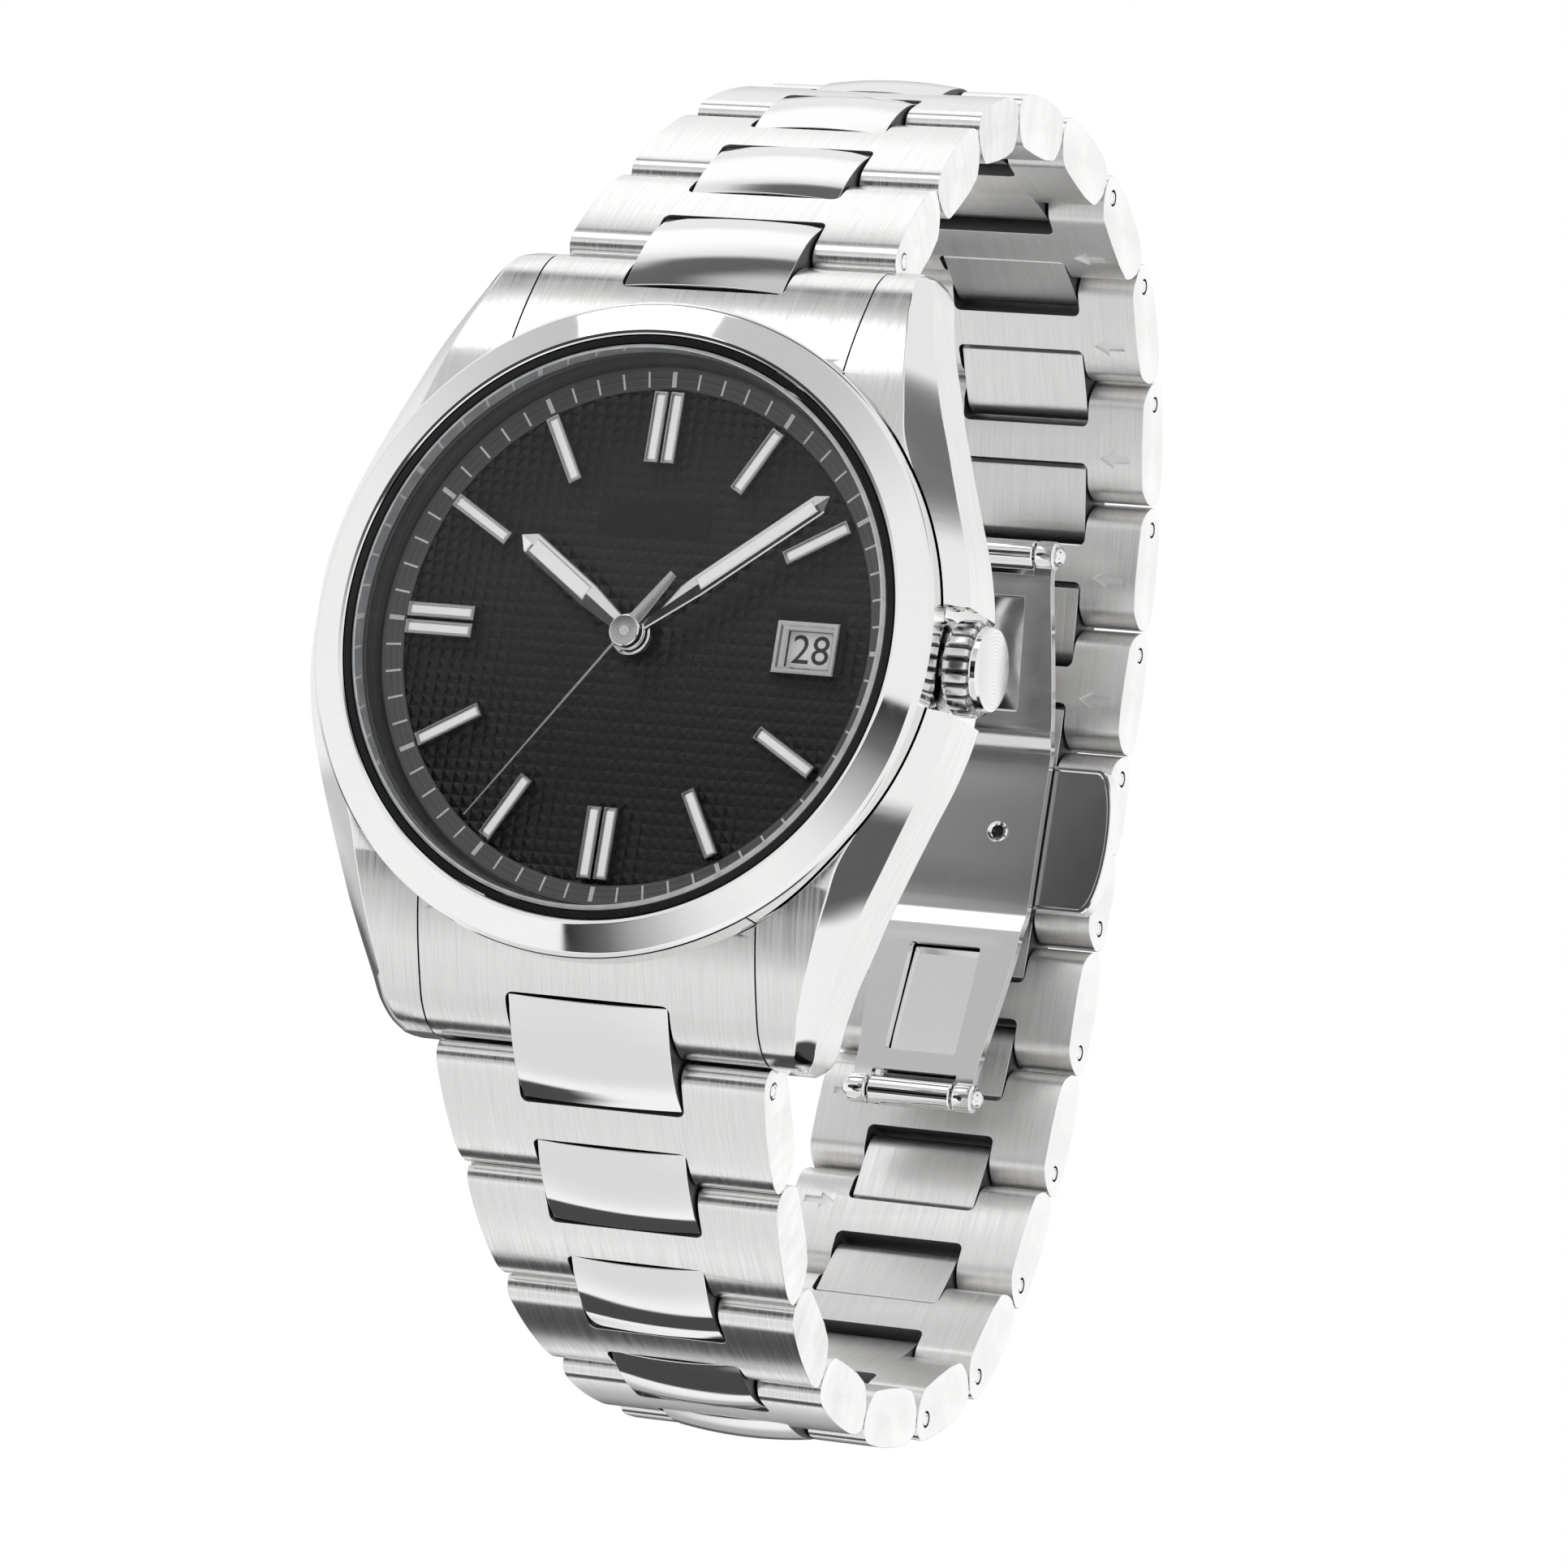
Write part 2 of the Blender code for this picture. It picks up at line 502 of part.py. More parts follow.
def build_arm(side, tag, bore):
    y, z = HINGE
    ye, ze = ARM_EYE
    blade = ((54.3, 2.2, 2.45), (54.15, 3.6, 2.45), (53.95, 4.9, 2.45), (53.85, 5.3, 3.6), (53.3, 7.2, 3.6),
             (52.6, 10.2, 3.6), (51.85, 13.5, 3.6), (51.6, 15.0, 3.6), (51.5, 15.5, 2.65), (51.3, 16.7, 2.65))
    arm = strip("clasp_arm_" + tag, blade, 0.6, side)
    fuse(arm, rod_x("knuckle", 0.9, -2.7, 2.7, y, side * z))
    fuse(arm, rod_x("eye", 0.6, -2.5, 2.5, ye, side * ze, 16))
    cut(arm, rod_x("hinge_bore", bore, -4, 4, y, side * z, 16))
    cut(arm, rod_x("eye_bore", 0.42, -4, 4, ye, side * ze, 16))
    finish(arm, "brushed")
    set_origin(arm, 0, ye, side * ze)
    pin = rod_x("arm_pin_" + tag, 0.35, -3.15, 3.15, ye, side * ze, 16)
    finish(pin, "polished", True)


def build_hinge_pin(side, tag, r):
    y, z = HINGE
    head = ((0, -4.6), (0.4, -4.55), (0.62, -4.3), (0.62, -4.12), (r, -4.12), (r, 4.12), (0.62, 4.12), (0.62, 4.3),
            (0.4, 4.55), (0, 4.6))
    finish(lathe_x("clasp_pin_" + tag, head, y, side * z, 16), "polished", True)


def build_pusher(sign, tag):
    """D-shaped button sliding under the edge of the frame's middle."""
    arc = [(sign * (7.9 + 1.15 * math.cos(math.pi * t / 16)), 4.55 * math.sin(math.pi * t / 16)) for t in range(-8, 9)]
    outline = [(sign * 4.15, -4.55)] + arc + [(sign * 4.15, 4.55)]
    button = slab("pusher_" + tag, outline, 53.9, 55.15)
    finish(button, "polished")
    set_origin(button, sign * 7.0, 54.5, 0)


def build_clasp():
    build_frame()
    build_arm(1, "12", 0.55)
    build_arm(-1, "6", 0.62)
    build_hinge_pin(1, "12", 0.42)
    build_hinge_pin(-1, "6", 0.34)
    build_pusher(1, "right")
    build_pusher(-1, "left")


for ob in list(bpy.data.objects):
    bpy.data.objects.remove(ob, do_unlink=True)
build_case_group()
build_moving_inside()
build_crown()
build_bracelet()
build_clasp()
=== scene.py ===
"""Looks of the automatic wristwatch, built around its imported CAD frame.

Frame: +X toward three o'clock, +Z toward twelve, -Y out of the dial, origin on the case back.
Lengths below are millimetres and depths along Y count from the plane of the hour-marker tops.
"""
import math

import bmesh
import bpy
from mathutils import Matrix, Vector


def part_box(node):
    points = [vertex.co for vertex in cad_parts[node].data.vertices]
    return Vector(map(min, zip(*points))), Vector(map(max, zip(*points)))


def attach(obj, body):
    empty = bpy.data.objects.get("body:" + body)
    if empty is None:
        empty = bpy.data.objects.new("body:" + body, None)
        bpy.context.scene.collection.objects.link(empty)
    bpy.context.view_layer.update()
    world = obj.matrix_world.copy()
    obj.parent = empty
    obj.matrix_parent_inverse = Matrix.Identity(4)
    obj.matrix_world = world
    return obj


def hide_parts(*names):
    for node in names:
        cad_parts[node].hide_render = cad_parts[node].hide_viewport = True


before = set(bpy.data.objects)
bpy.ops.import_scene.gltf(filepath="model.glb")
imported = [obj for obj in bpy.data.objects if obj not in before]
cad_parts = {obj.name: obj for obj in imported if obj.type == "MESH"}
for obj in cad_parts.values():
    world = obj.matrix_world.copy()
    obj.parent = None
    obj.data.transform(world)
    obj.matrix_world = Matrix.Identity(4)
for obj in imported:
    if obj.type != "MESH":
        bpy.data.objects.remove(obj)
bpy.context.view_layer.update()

MM = 0.001
BACK = -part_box("dial")[0].y / MM            # depth of the case back face
SEGMENTS = 224                              # segments of the large rounds
DEPSGRAPH = bpy.context.evaluated_depsgraph_get

# ---- dimensions shared with the CAD design ----
STATIONS = ((0.0, 18.0, -0.90, 19.90, 0.55, 4.5, 18.2, 7.4), (3.0, 17.9, -0.90, 19.80, 0.55, 4.5, 18.1, 7.4),
    (6.0, 17.3, -0.90, 19.15, 0.52, 4.4, 17.5, 7.4), (9.0, 16.3, -0.90, 18.10, 0.55, 4.3, 16.5, 7.4),
    (12.0, 14.95, -0.86, 16.95, 0.82, 4.5, 15.4, 7.4), (14.0, 14.43, -0.50, 16.15, 1.06, 4.8, 14.8, 7.4),
    (16.0, 13.93, 0.00, 15.40, 1.45, 5.2, 14.2, 7.5), (18.0, 13.43, 0.76, 14.62, 2.07, 5.6, 13.7, 7.6),
    (20.0, 12.88, 1.75, 13.90, 2.96, 6.3, 13.2, 7.8), (21.4, 12.60, 2.60, 13.45, 3.70, 6.9, 12.9, 7.9),
    (22.3, 12.30, 3.60, 13.00, 4.60, 7.0, 12.6, 7.7), (22.8, 11.90, 4.80, 12.50, 5.40, 6.6, 12.2, 7.2))
BODY_R, SEAT_R, SEAT_DEPTH = 17.3, 18.82, 0.05
LUG_HALF_GAP, END_LINK_W = 10.4, 10.3
CROWN_DEPTH = 2.47
DATE_X = 10.6                               # middle of the date window
HOUR_ANGLE, MINUTE_ANGLE, SECONDS_ANGLE = 304.33, 52.0, 215.5   # degrees clockwise from twelve
FIRST_PIN = (6.46, 23.88)
LINK_DIRECTION = (47.2, 40.1, 23.1, 6.5, -9.5, -26.3, -53.0, -69.7, -81.4, -88.8, -90.0)
LINK_PITCH = (8.1,) * 6 + (7.9,) * 5
LINK_HALF_WIDTH = (10.2, 9.72, 9.03, 8.22, 7.88) + (7.87,) * 7
CENTRE_HALF_WIDTH = (4.9, 4.6, 4.15) + (4.05,) * 8
NOTCH_GAP = 0.15
NOSE_HEIGHT = 1.54
# how far each centre piece reaches past its pin; less where the joint opens further
NOSE_REACH = (1.14, 1.23, 1.14, 1.14, 1.14, 1.02, 0.96, 0.96, 1.08, 1.23, 1.23)
END_CENTRE_DIRECTION = 57.0                 # slope of the end link's centre piece
LINKS = len(LINK_DIRECTION)
FIRST_REMOVABLE = 5                         # counted from the case, the first link with an arrow
HINGE, ARM_EYE, FRAME_T = (50.75, 17.15), (54.75, 2.0), 0.65
SIDES = ((1, "12"), (-1, "6"))


def at(x, y, z):
    """Point in metres from millimetres, its depth counted from the marker tops."""
    return Vector((x * MM, (y - BACK) * MM, z * MM))


# ---- materials ----
def shader(name, rgb, metallic=0.0, roughness=0.4, **sockets):
    """A node material; other Principled sockets are set by name."""
    m = bpy.data.materials.new(name)
    m.use_nodes = True
    sockets.update(Base_Color=(*rgb, 1.0), Metallic=metallic, Roughness=roughness)
    for socket, value in sockets.items():
        principled(m).inputs[socket.replace("_", " ")].default_value = value
    return m


def add(owner, kind, **settings):
    """A node in the tree of a material or world; settings name its properties or its sockets."""
    node = owner.node_tree.nodes.new(kind)
    for key, value in settings.items():
        if hasattr(node, key):
            setattr(node, key, value)
        else:
            node.inputs[key.replace("_", " ")].default_value = value
    return node


def join(source, target):
    source.id_data.links.new(source, target)


def map_range(owner, value, start, end, low, high, kind="LINEAR"):
    node = add(owner, "ShaderNodeMapRange", interpolation_type=kind, From_Min=start, From_Max=end, To_Min=low,
        To_Max=high)
    join(value, node.inputs["Value"])
    return node.outputs["Result"]


def principled(m):
    return m.node_tree.nodes["Principled BSDF"]


def noise(m, scale, turn=(0, 0, 0), detail=2.0):
    """Noise in millimetre coordinates of the piece; scale holds cells per millimetre along X, Y and Z."""
    where = add(m, "ShaderNodeTexCoord")
    mapping = add(m, "ShaderNodeMapping", Rotation=[math.radians(t) for t in turn],
        Scale=[s / MM for s in scale])
    grain = add(m, "ShaderNodeTexNoise", Scale=1.0, Detail=detail, Roughness=0.6)
    join(where.outputs["Object"], mapping.inputs["Vector"])
    join(mapping.outputs["Vector"], grain.inputs["Vector"])
    return grain.outputs["Fac"]


def ramp(m, fac, *stops):
    """Colours the surface by fac, through (position, grey or rgb) stops."""
    node = add(m, "ShaderNodeValToRGB")
    node.color_ramp.elements.remove(node.color_ramp.elements[1])
    for i, (where, colour) in enumerate(stops):
        e = node.color_ramp.elements[0] if i == 0 else node.color_ramp.elements.new(where)
        e.position = where
        e.color = (*colour, 1) if isinstance(colour, tuple) else (colour,) * 3 + (1,)
    join(fac, node.inputs["Fac"])
    join(node.outputs["Color"], principled(m).inputs["Base Color"])


def spread(m, fac, low, high):
    """Varies the roughness by fac."""
    join(map_range(m, fac, 0.3, 0.7, low, high), principled(m).inputs["Roughness"])


def bump(m, fac, height):
    """Relief of the given height in millimetres."""
    node = add(m, "ShaderNodeBump", Strength=1.0, Distance=height * MM)
    join(fac, node.inputs["Height"])
    join(node.outputs["Normal"], principled(m).inputs["Normal"])


def around(m, axis):
    """Anisotropy whose grain runs round an axis."""
    tangent = add(m, "ShaderNodeTangent", direction_type="RADIAL", axis=axis)
    join(tangent.outputs["Tangent"], principled(m).inputs["Tangent"])
    principled(m).inputs["Anisotropic Rotation"].default_value = 0.25


def brushed(name, tone, scale, turn=(0, 0, 0), axis="X", rough=(0.20, 0.34), grain=0.0016, anisotropic=0.6):
    """Satin steel: long fine scratches along the low-frequency axis of scale."""
    m = shader(name, (tone, tone * 0.993, tone * 0.985), 1.0, 0.28, Anisotropic=anisotropic)
    fine = noise(m, scale, turn)
    ramp(m, fine, (0.30, (tone * 0.93, tone * 0.925, tone * 0.92)), (0.50,
        (tone, tone * 0.993, tone * 0.985)), (0.72, (tone * 1.05, tone * 1.045, tone * 1.04)))
    streaks = noise(m, [s * 0.35 for s in scale], turn, 3.0)
    spread(m, streaks, *rough)
    bump(m, fine, grain)
    around(m, axis)
    return m


def polished(name, tone=0.87, rough=(0.035, 0.065)):
    """Mirror steel with the faintest wear clouds and hairlines."""
    m = shader(name, (tone, tone * 0.995, tone * 0.988), 1.0, 0.05)
    spread(m, noise(m, (0.8, 0.8, 0.8), detail=4.0), *rough)
    hair = noise(m, (1.4, 9.0, 2.2), (20, 35, 15), 2.0)
    ramp(m, hair, (0.2, (tone * 0.975,) * 3), (0.6, (tone, tone * 0.995, tone * 0.988)))
    return m


LINK_STEEL = brushed("brushed_links", 0.89, (13.0, 0.25, 0.25), rough=(0.17, 0.27), grain=0.0006)
# partly a rougher brushed finish, partly painted light: toned lighter than the link steel (0.93 against 0.89)
# to brighten the shaded inside of the loop
INNER_STEEL_PAINTED_LIGHT = brushed("brushed_inner_painted_light", 0.93, (11.0, 0.25, 0.25), rough=(0.36, 0.46), grain=0.0008)
TOP_STEEL = brushed("brushed_top", 0.83, (14.0, 0.25, 0.22), rough=(0.17, 0.27), grain=0.0006)
FLANK_STEEL = brushed("brushed_flank", 0.83, (0.4, 10.0, 0.24), (24, 0, 0), "X", (0.14, 0.24), 0.0005, 0.4)
PLATE_STEEL = brushed("brushed_plate", 0.76, (0.35, 0.35, 9.0), (0, 0, 0), "Z", (0.2, 0.34), 0.0012, 0.5)
MIRROR = polished("mirror_steel")
# painted shade: a darker copy of the mirror steel for the lug slot walls, the bore and the end pieces' walls
# toward the case
MIRROR_PAINTED_SHADE = polished("mirror_steel_inner_painted_shade", 0.74)
# painted shade: a dark copy of the polished steel for the inside of the crown's flutes
GROOVE_PAINTED_SHADE = polished("crown_groove_painted_shade", 0.30, (0.14, 0.22))
# painted shade and reflection: darker copies of the polished steel for the clasp frame (0.74), its centre
# plate (0.48, partly a satin finish) and the push buttons (0.34), deep inside the loop
CLASP_STEEL_PAINTED_SHADE = polished("clasp_steel_painted_shade", 0.74, (0.10, 0.16))
CLASP_SATIN_PAINTED_SHADE = polished("clasp_satin_painted_shade", 0.48, (0.24, 0.27))
PUSHER_PAINTED_SHADE = polished("pusher_steel_painted_shade", 0.34, (0.16, 0.19))
# painted shade: near-black steel for the notch walls, pin holes and the sides of the centre pieces, where
# shade falls in the narrow gaps
RECESS_PAINTED_SHADE = polished("recess_painted_shade", 0.16, (0.45, 0.60))
FROST = polished("engraved_frost", 0.96, (0.42, 0.55))
HAND_STEEL = polished("hand_steel", 0.86, (0.08, 0.13))
FRAME_STEEL = polished("date_frame_steel", 0.74, (0.12, 0.18))
MARKER_STEEL = polished("marker_steel", 0.50, (0.16, 0.22))
SECONDS_STEEL = polished("seconds_steel", 0.52, (0.24, 0.30))
RIDGE_STEEL = polished("crown_ridge_steel", 0.80, (0.16, 0.24))


def turned_steel(name, axis, circles, shades, cells, rough, relief, location=(0.0, 0.0, 0.0), roughness=0.24,
        anisotropic=0.6, distortion=0.6):
    """Steel turned in fine concentric circles about an axis."""
    m = shader(name, (0.82, 0.815, 0.81), 1.0, roughness, Anisotropic=anisotropic)
    where = add(m, "ShaderNodeTexCoord")
    mapping = add(m, "ShaderNodeMapping", Location=location)
    rings = add(m, "ShaderNodeTexWave", wave_type="RINGS", rings_direction=axis, Scale=circles,
        Distortion=distortion)
    join(where.outputs["Object"], mapping.inputs["Vector"])
    join(mapping.outputs["Vector"], rings.inputs["Vector"])
    ramp(m, rings.outputs["Fac"], (0.0, shades[0]), (1.0, shades[1]))
    spread(m, noise(m, (cells,) * 3), *rough)
    bump(m, rings.outputs["Fac"], relief)
    around(m, axis)
    return m


TURNED = turned_steel("turned_steel", "Y", 2600.0, (0.70, 0.86), 1.2, (0.2, 0.3), 0.0012)
CAP_STEEL = turned_steel("turned_cap", "X", 1500.0, (0.74, 0.86), 2.0, (0.16, 0.26), 0.003,
    (0.0, (BACK - CROWN_DEPTH) * MM, 0.0), 0.2, 0.5, 0.3)


def painted(name, low, high, roughness, cells=6.0, grain=0.0, **sockets):
    """Paint or plastic whose tone wanders between two values."""
    m = shader(name, low, 0.0, roughness, **sockets)
    tone = noise(m, (cells,) * 3, detail=3.0)
    ramp(m, tone, (0.3, low), (0.7, high))
    spread(m, tone, roughness * 0.85, roughness * 1.15)
    if grain:
        bump(m, tone, grain)
    return m


DIAL_BLACK = painted("dial_black_paint", (0.006, 0.006, 0.0065), (0.009, 0.009, 0.0095), 0.25, 9.0, 0.0004,
    Specular_IOR_Level=0.26)
# the emission of 0.16 is a painted glow that brightens the white lume fill; it is no lamp
LUME_PAINTED_GLOW = painted("lume_grain_painted_glow", (0.86, 0.87, 0.86), (0.97, 0.975, 0.97), 0.55, 7.0, 0.012,
    Emission_Strength=0.16)
DISC_WHITE = painted("date_white", (0.93, 0.93, 0.92), (0.98, 0.98, 0.97), 0.5, 12.0, 0.0005)
INK = painted("numeral_ink", (0.035, 0.035, 0.037), (0.05, 0.05, 0.052), 0.45, 12.0)
RUBBER = painted("gasket_rubber", (0.008, 0.008, 0.008), (0.015, 0.015, 0.015), 0.4, 5.0, 0.001)
HOLDER = painted("holder_plastic", (0.80, 0.80, 0.78), (0.86, 0.86, 0.84), 0.5, 4.0, 0.001)
PRINT = painted("track_silver", (0.74, 0.74, 0.73), (0.84, 0.84, 0.83), 0.35, 12.0)


def flange_material():
    """Dark grey ring turned in very fine circles about the dial centre."""
    m = shader("flange_turned", (0.05, 0.05, 0.052), 0.6, 0.33)
    where = add(m, "ShaderNodeTexCoord")
    flat = add(m, "ShaderNodeMapping", Scale=(1, 0, 1))
    length = add(m, "ShaderNodeVectorMath", operation="LENGTH")
    join(where.outputs["Object"], flat.inputs["Vector"])
    join(flat.outputs["Vector"], length.inputs[0])
    rings = add(m, "ShaderNodeTexNoise", noise_dimensions="1D", Scale=14.0 / MM, Detail=2.0)
    join(length.outputs["Value"], rings.inputs["W"])
    ramp(m, rings.outputs["Fac"], (0.3, (0.075, 0.075, 0.078)), (0.7, (0.16, 0.16, 0.165)))
    spread(m, rings.outputs["Fac"], 0.3, 0.42)
    bump(m, rings.outputs["Fac"], 0.0008)
    return m


FLANGE = flange_material()


def sapphire():
    """Clear coated crystal: alpha is the share it mirrors, almost none face on, more toward grazing sight."""
    m = shader("sapphire_clear", (0.97, 0.985, 1.0), 1.0, 0.02)
    spread(m, noise(m, (0.05, 0.05, 0.05)), 0.01, 0.03)
    facing = add(m, "ShaderNodeLayerWeight", Blend=0.25)
    join(map_range(m, facing.outputs["Fresnel"], 0.0, 1.0, 0.0, 0.42), principled(m).inputs["Alpha"])
    return m


SAPPHIRE = sapphire()
# painted reflection: an opaque grey ring standing in for the light seen in the clear crystal's chamfered edge
RIM_PAINTED_REFLECTION = painted("crystal_rim_painted_reflection", (0.42, 0.43, 0.44), (0.62, 0.63, 0.64), 0.12, 1.0, Specular_IOR_Level=0.9)
GILT = brushed("gilt_brass", 0.78, (6.0, 6.0, 6.0), rough=(0.25, 0.35), grain=0.001, anisotropic=0.0)
ramp(GILT, noise(GILT, (6.0, 6.0, 6.0)), (0.3, (0.72, 0.58, 0.33)), (0.7, (0.84, 0.70, 0.44)))


# ---- meshes ----
def mesh_object(name, verts, faces, materials, indices=None):
    me = bpy.data.meshes.new(name)
    me.from_pydata([tuple(v) for v in verts], [], faces)
    for m in materials:
        me.materials.append(m)
    for p, i in zip(me.polygons, indices or ()):
        p.material_index = i
    bm = bmesh.new()
    bm.from_mesh(me)
    bmesh.ops.recalc_face_normals(bm, faces=bm.faces)
    bm.to_mesh(me)
    bm.free()
    return put(name, me)


def put(name, data):
    """A new object for the data, in the scene."""
    ob = bpy.data.objects.new(name, data)
    bpy.context.scene.collection.objects.link(ob)
    return ob


def rectangle(u0, u1, v0, v1):
    return (u0, v0), (u1, v0), (u1, v1), (u0, v1)


def circle(radius, count):
    angles = [math.tau * i / count for i in range(count)]
    return [(radius * math.cos(a), radius * math.sin(a)) for a in angles]


def dress(ob, body, replaces=(), angle=30.0, edge=0.0, weighted=True):
    """Shades, bevels and hands a finished piece to its body."""
    ob.data.shade_smooth()
    ob.data.set_sharp_from_angle(angle=math.radians(angle))
    if edge:
        b = ob.modifiers.new("edge", "BEVEL")
        b.width, b.segments, b.limit_method, b.angle_limit = edge * MM, 2, "ANGLE", math.radians(38)
        b.use_clamp_overlap = b.harden_normals = True
    elif weighted:
        ob.modifiers.new("even", "WEIGHTED_NORMAL").keep_sharp = True
    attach(ob, body)
    if replaces:
        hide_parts(*replaces)


def ring_faces(rings, closed_ends=True):
    n = len(rings[0])
    faces = [tuple(range(n)), tuple((len(rings) - 1) * n + i for i in range(n))] if closed_ends else []
    for k in range(len(rings) - 1):
        for i in range(n):
            j = (i + 1) % n
            faces.append((k * n + i, k * n + j, (k + 1) * n + j, (k + 1) * n + i))
    return faces


def loft(name, rings, materials, strips=None, caps=0):
    """Closed solid through rings; strips gives each strip of faces its material."""
    indices = [caps, caps] + list(strips) * (len(rings) - 1) if strips else None
    return mesh_object(name, [p for r in rings for p in r], ring_faces(rings), materials, indices)


def revolve(name, profile, place, materials, segments=SEGMENTS, strips=None):
    """Closed (radius, position) profile turned about an axis."""
    verts, index = [], []
    for r, h in profile:
        if r == 0:
            verts.append(place(0, 0, h))
            index.append([len(verts) - 1] * segments)
        else:
            verts += [place(r, math.tau * i / segments, h) for i in range(segments)]
            index.append(list(range(len(verts) - segments, len(verts))))
    faces, indices = [], []
    for k in range(len(profile)):
        a, b = index[k], index[(k + 1) % len(profile)]
        for i in range(segments):
            j = (i + 1) % segments
            ring = []
            for v in (a[i], a[j], b[j], b[i]):
                if v not in ring:
                    ring.append(v)
            if len(ring) > 2:
                faces.append(tuple(ring))
                indices.append(strips[k] if strips else 0)
    return mesh_object(name, verts, faces, materials, indices)


def lathe(name, profile, materials, segments=SEGMENTS, centre=(0.0, 0.0), strips=None):
    """Round about an axis parallel to Y; profile holds (radius, depth)."""
    cx, cz = centre
    return revolve(name, profile, lambda r, a, h: at(cx + r * math.sin(a), h, cz + r * math.cos(a)),
        materials, segments, strips)


def lathe_x(name, profile, depth, height, materials, segments=64, strips=None, shape=lambda r, a, h: r):
    """Round about an axis parallel to X; profile holds (radius, x)."""
    return revolve(name, profile, lambda r, a, h: at(h, depth + shape(r, a, h) * math.sin(a),
        height + shape(r, a, h) * math.cos(a)), materials, segments, strips)


def facing(u, v, h):
    """Places a flat outline as seen from the dial side, with its height along the depth."""
    return at(u, h, v)


def prism(outline, low, high, material, index=0, place=facing):
    """Flat outline of (u, v) points pushed from low to high along the third coordinate."""
    ob = loft("prism", [[place(u, v, h) for u, v in outline] for h in (low, high)], (material,))
    for p in ob.data.polygons:
        p.material_index = index
    return ob


def boolean(target, cutter):
    """Subtracts the cutter for good and removes it."""
    m = target.modifiers.new("cut", "BOOLEAN")
    m.operation, m.object, m.solver = "DIFFERENCE", cutter, "EXACT"
    bpy.context.view_layer.update()
    me = bpy.data.meshes.new_from_object(target.evaluated_get(DEPSGRAPH()))
    target.modifiers.clear()
    target.data = me
    bpy.data.objects.remove(cutter, do_unlink=True)


def cut(target, outline, low, high, index=0, place=facing):
    """Subtracts a prism; its cut faces take material slot index."""
    boolean(target, prism(outline, low, high, target.data.materials[0], index, place))


def spline(points, steps, closed=False):
    """Smooth path through points (centripetal Catmull-Rom)."""
    n, out = len(points), []
    pick = (lambda i: points[i % n]) if closed else (lambda i: points[min(max(i, 0), n - 1)])
    for i in range(n if closed else n - 1):
        p0, p1, p2, p3 = (Vector(pick(i + k)) for k in (-1, 0, 1, 2))
        d1, d2, d3 = ((b - a).length ** 0.5 or 1e-6 for a, b in ((p0, p1), (p1, p2), (p2, p3)))
        m1 = p2 - p1 if d1 < 1e-5 else ((p1 - p0) / d1 - (p2 - p0) / (d1 + d2) + (p2 - p1) / d2) * d2
        m2 = p2 - p1 if d3 < 1e-5 else ((p2 - p1) / d2 - (p3 - p1) / (d2 + d3) + (p3 - p2) / d3) * d2
        for s in range(steps):
            t = s / steps
            near = p1 * (2 * t ** 3 - 3 * t ** 2 + 1) + m1 * (t ** 3 - 2 * t ** 2 + t)
            out.append(near + p2 * (3 * t ** 2 - 2 * t ** 3) + m2 * (t ** 3 - t ** 2))
    if not closed:
        out.append(Vector(points[-1]))
    return [tuple(p) for p in out]


def chamfered(points, size):
    """Each corner of a closed outline replaced by two points."""
    out, n = [], len(points)
    for i, p in enumerate(points):
        p = Vector(p)
        for q in (Vector(points[i - 1]), Vector(points[(i + 1) % n])):
            out.append(tuple(p + (q - p).normalized() * min(size, (q - p).length * 0.4)))
    return out


def rounded_rectangle(u0, u1, v0, v1, radius, steps=4):
    out = []
    for cu, cv, start in ((u1 - radius, v1 - radius, 0), (u0 + radius, v1 - radius, 90),
            (u0 + radius, v0 + radius, 180), (u1 - radius, v0 + radius, 270)):
        for s in range(steps + 1):
            a = math.radians(start + 90 * s / steps)
            out.append((cu + radius * math.cos(a), cv + radius * math.sin(a)))
    return out


def link_matrix(pin, direction, side):
    """Frame of a link: local X across, Y along, Z outward; mirrored across X on the six side."""
    c, s = math.cos(math.radians(direction)), math.sin(math.radians(direction))
    along, outward = Vector((0, c, side * s)), Vector((0, -s, side * c))
    across = along.cross(outward)
    m = Matrix((across, along, outward)).transposed().to_4x4()
    m.translation = at(0, pin[0], side * pin[1])
    return m


def settle(ob, matrix):
    ob.matrix_world = matrix
    return ob


# ---- case ----
def case_sections():
    """Smoothly blended cross-sections from lug tip to lug tip, each a chamfered outline."""
    full = [(-s[0],) + s[1:] for s in reversed(STATIONS[1:])] + list(STATIONS)
    paths = [spline([(s[0], s[i]) for s in full], 6) for i in range(1, 8)]
    sections = []
    for column in zip(*paths):
        xt, yt, xf, yf, yb, xu, yu = (value for _, value in column)
        half = [(xt, yt), (xf, yf), (xf, yb), (xu, yu)]
        outline = [(-x, y) for x, y in reversed(half)] + half
        sections.append([at(x, y, column[0][0]) for x, y in chamfered(outline, 0.07)])
    return sections


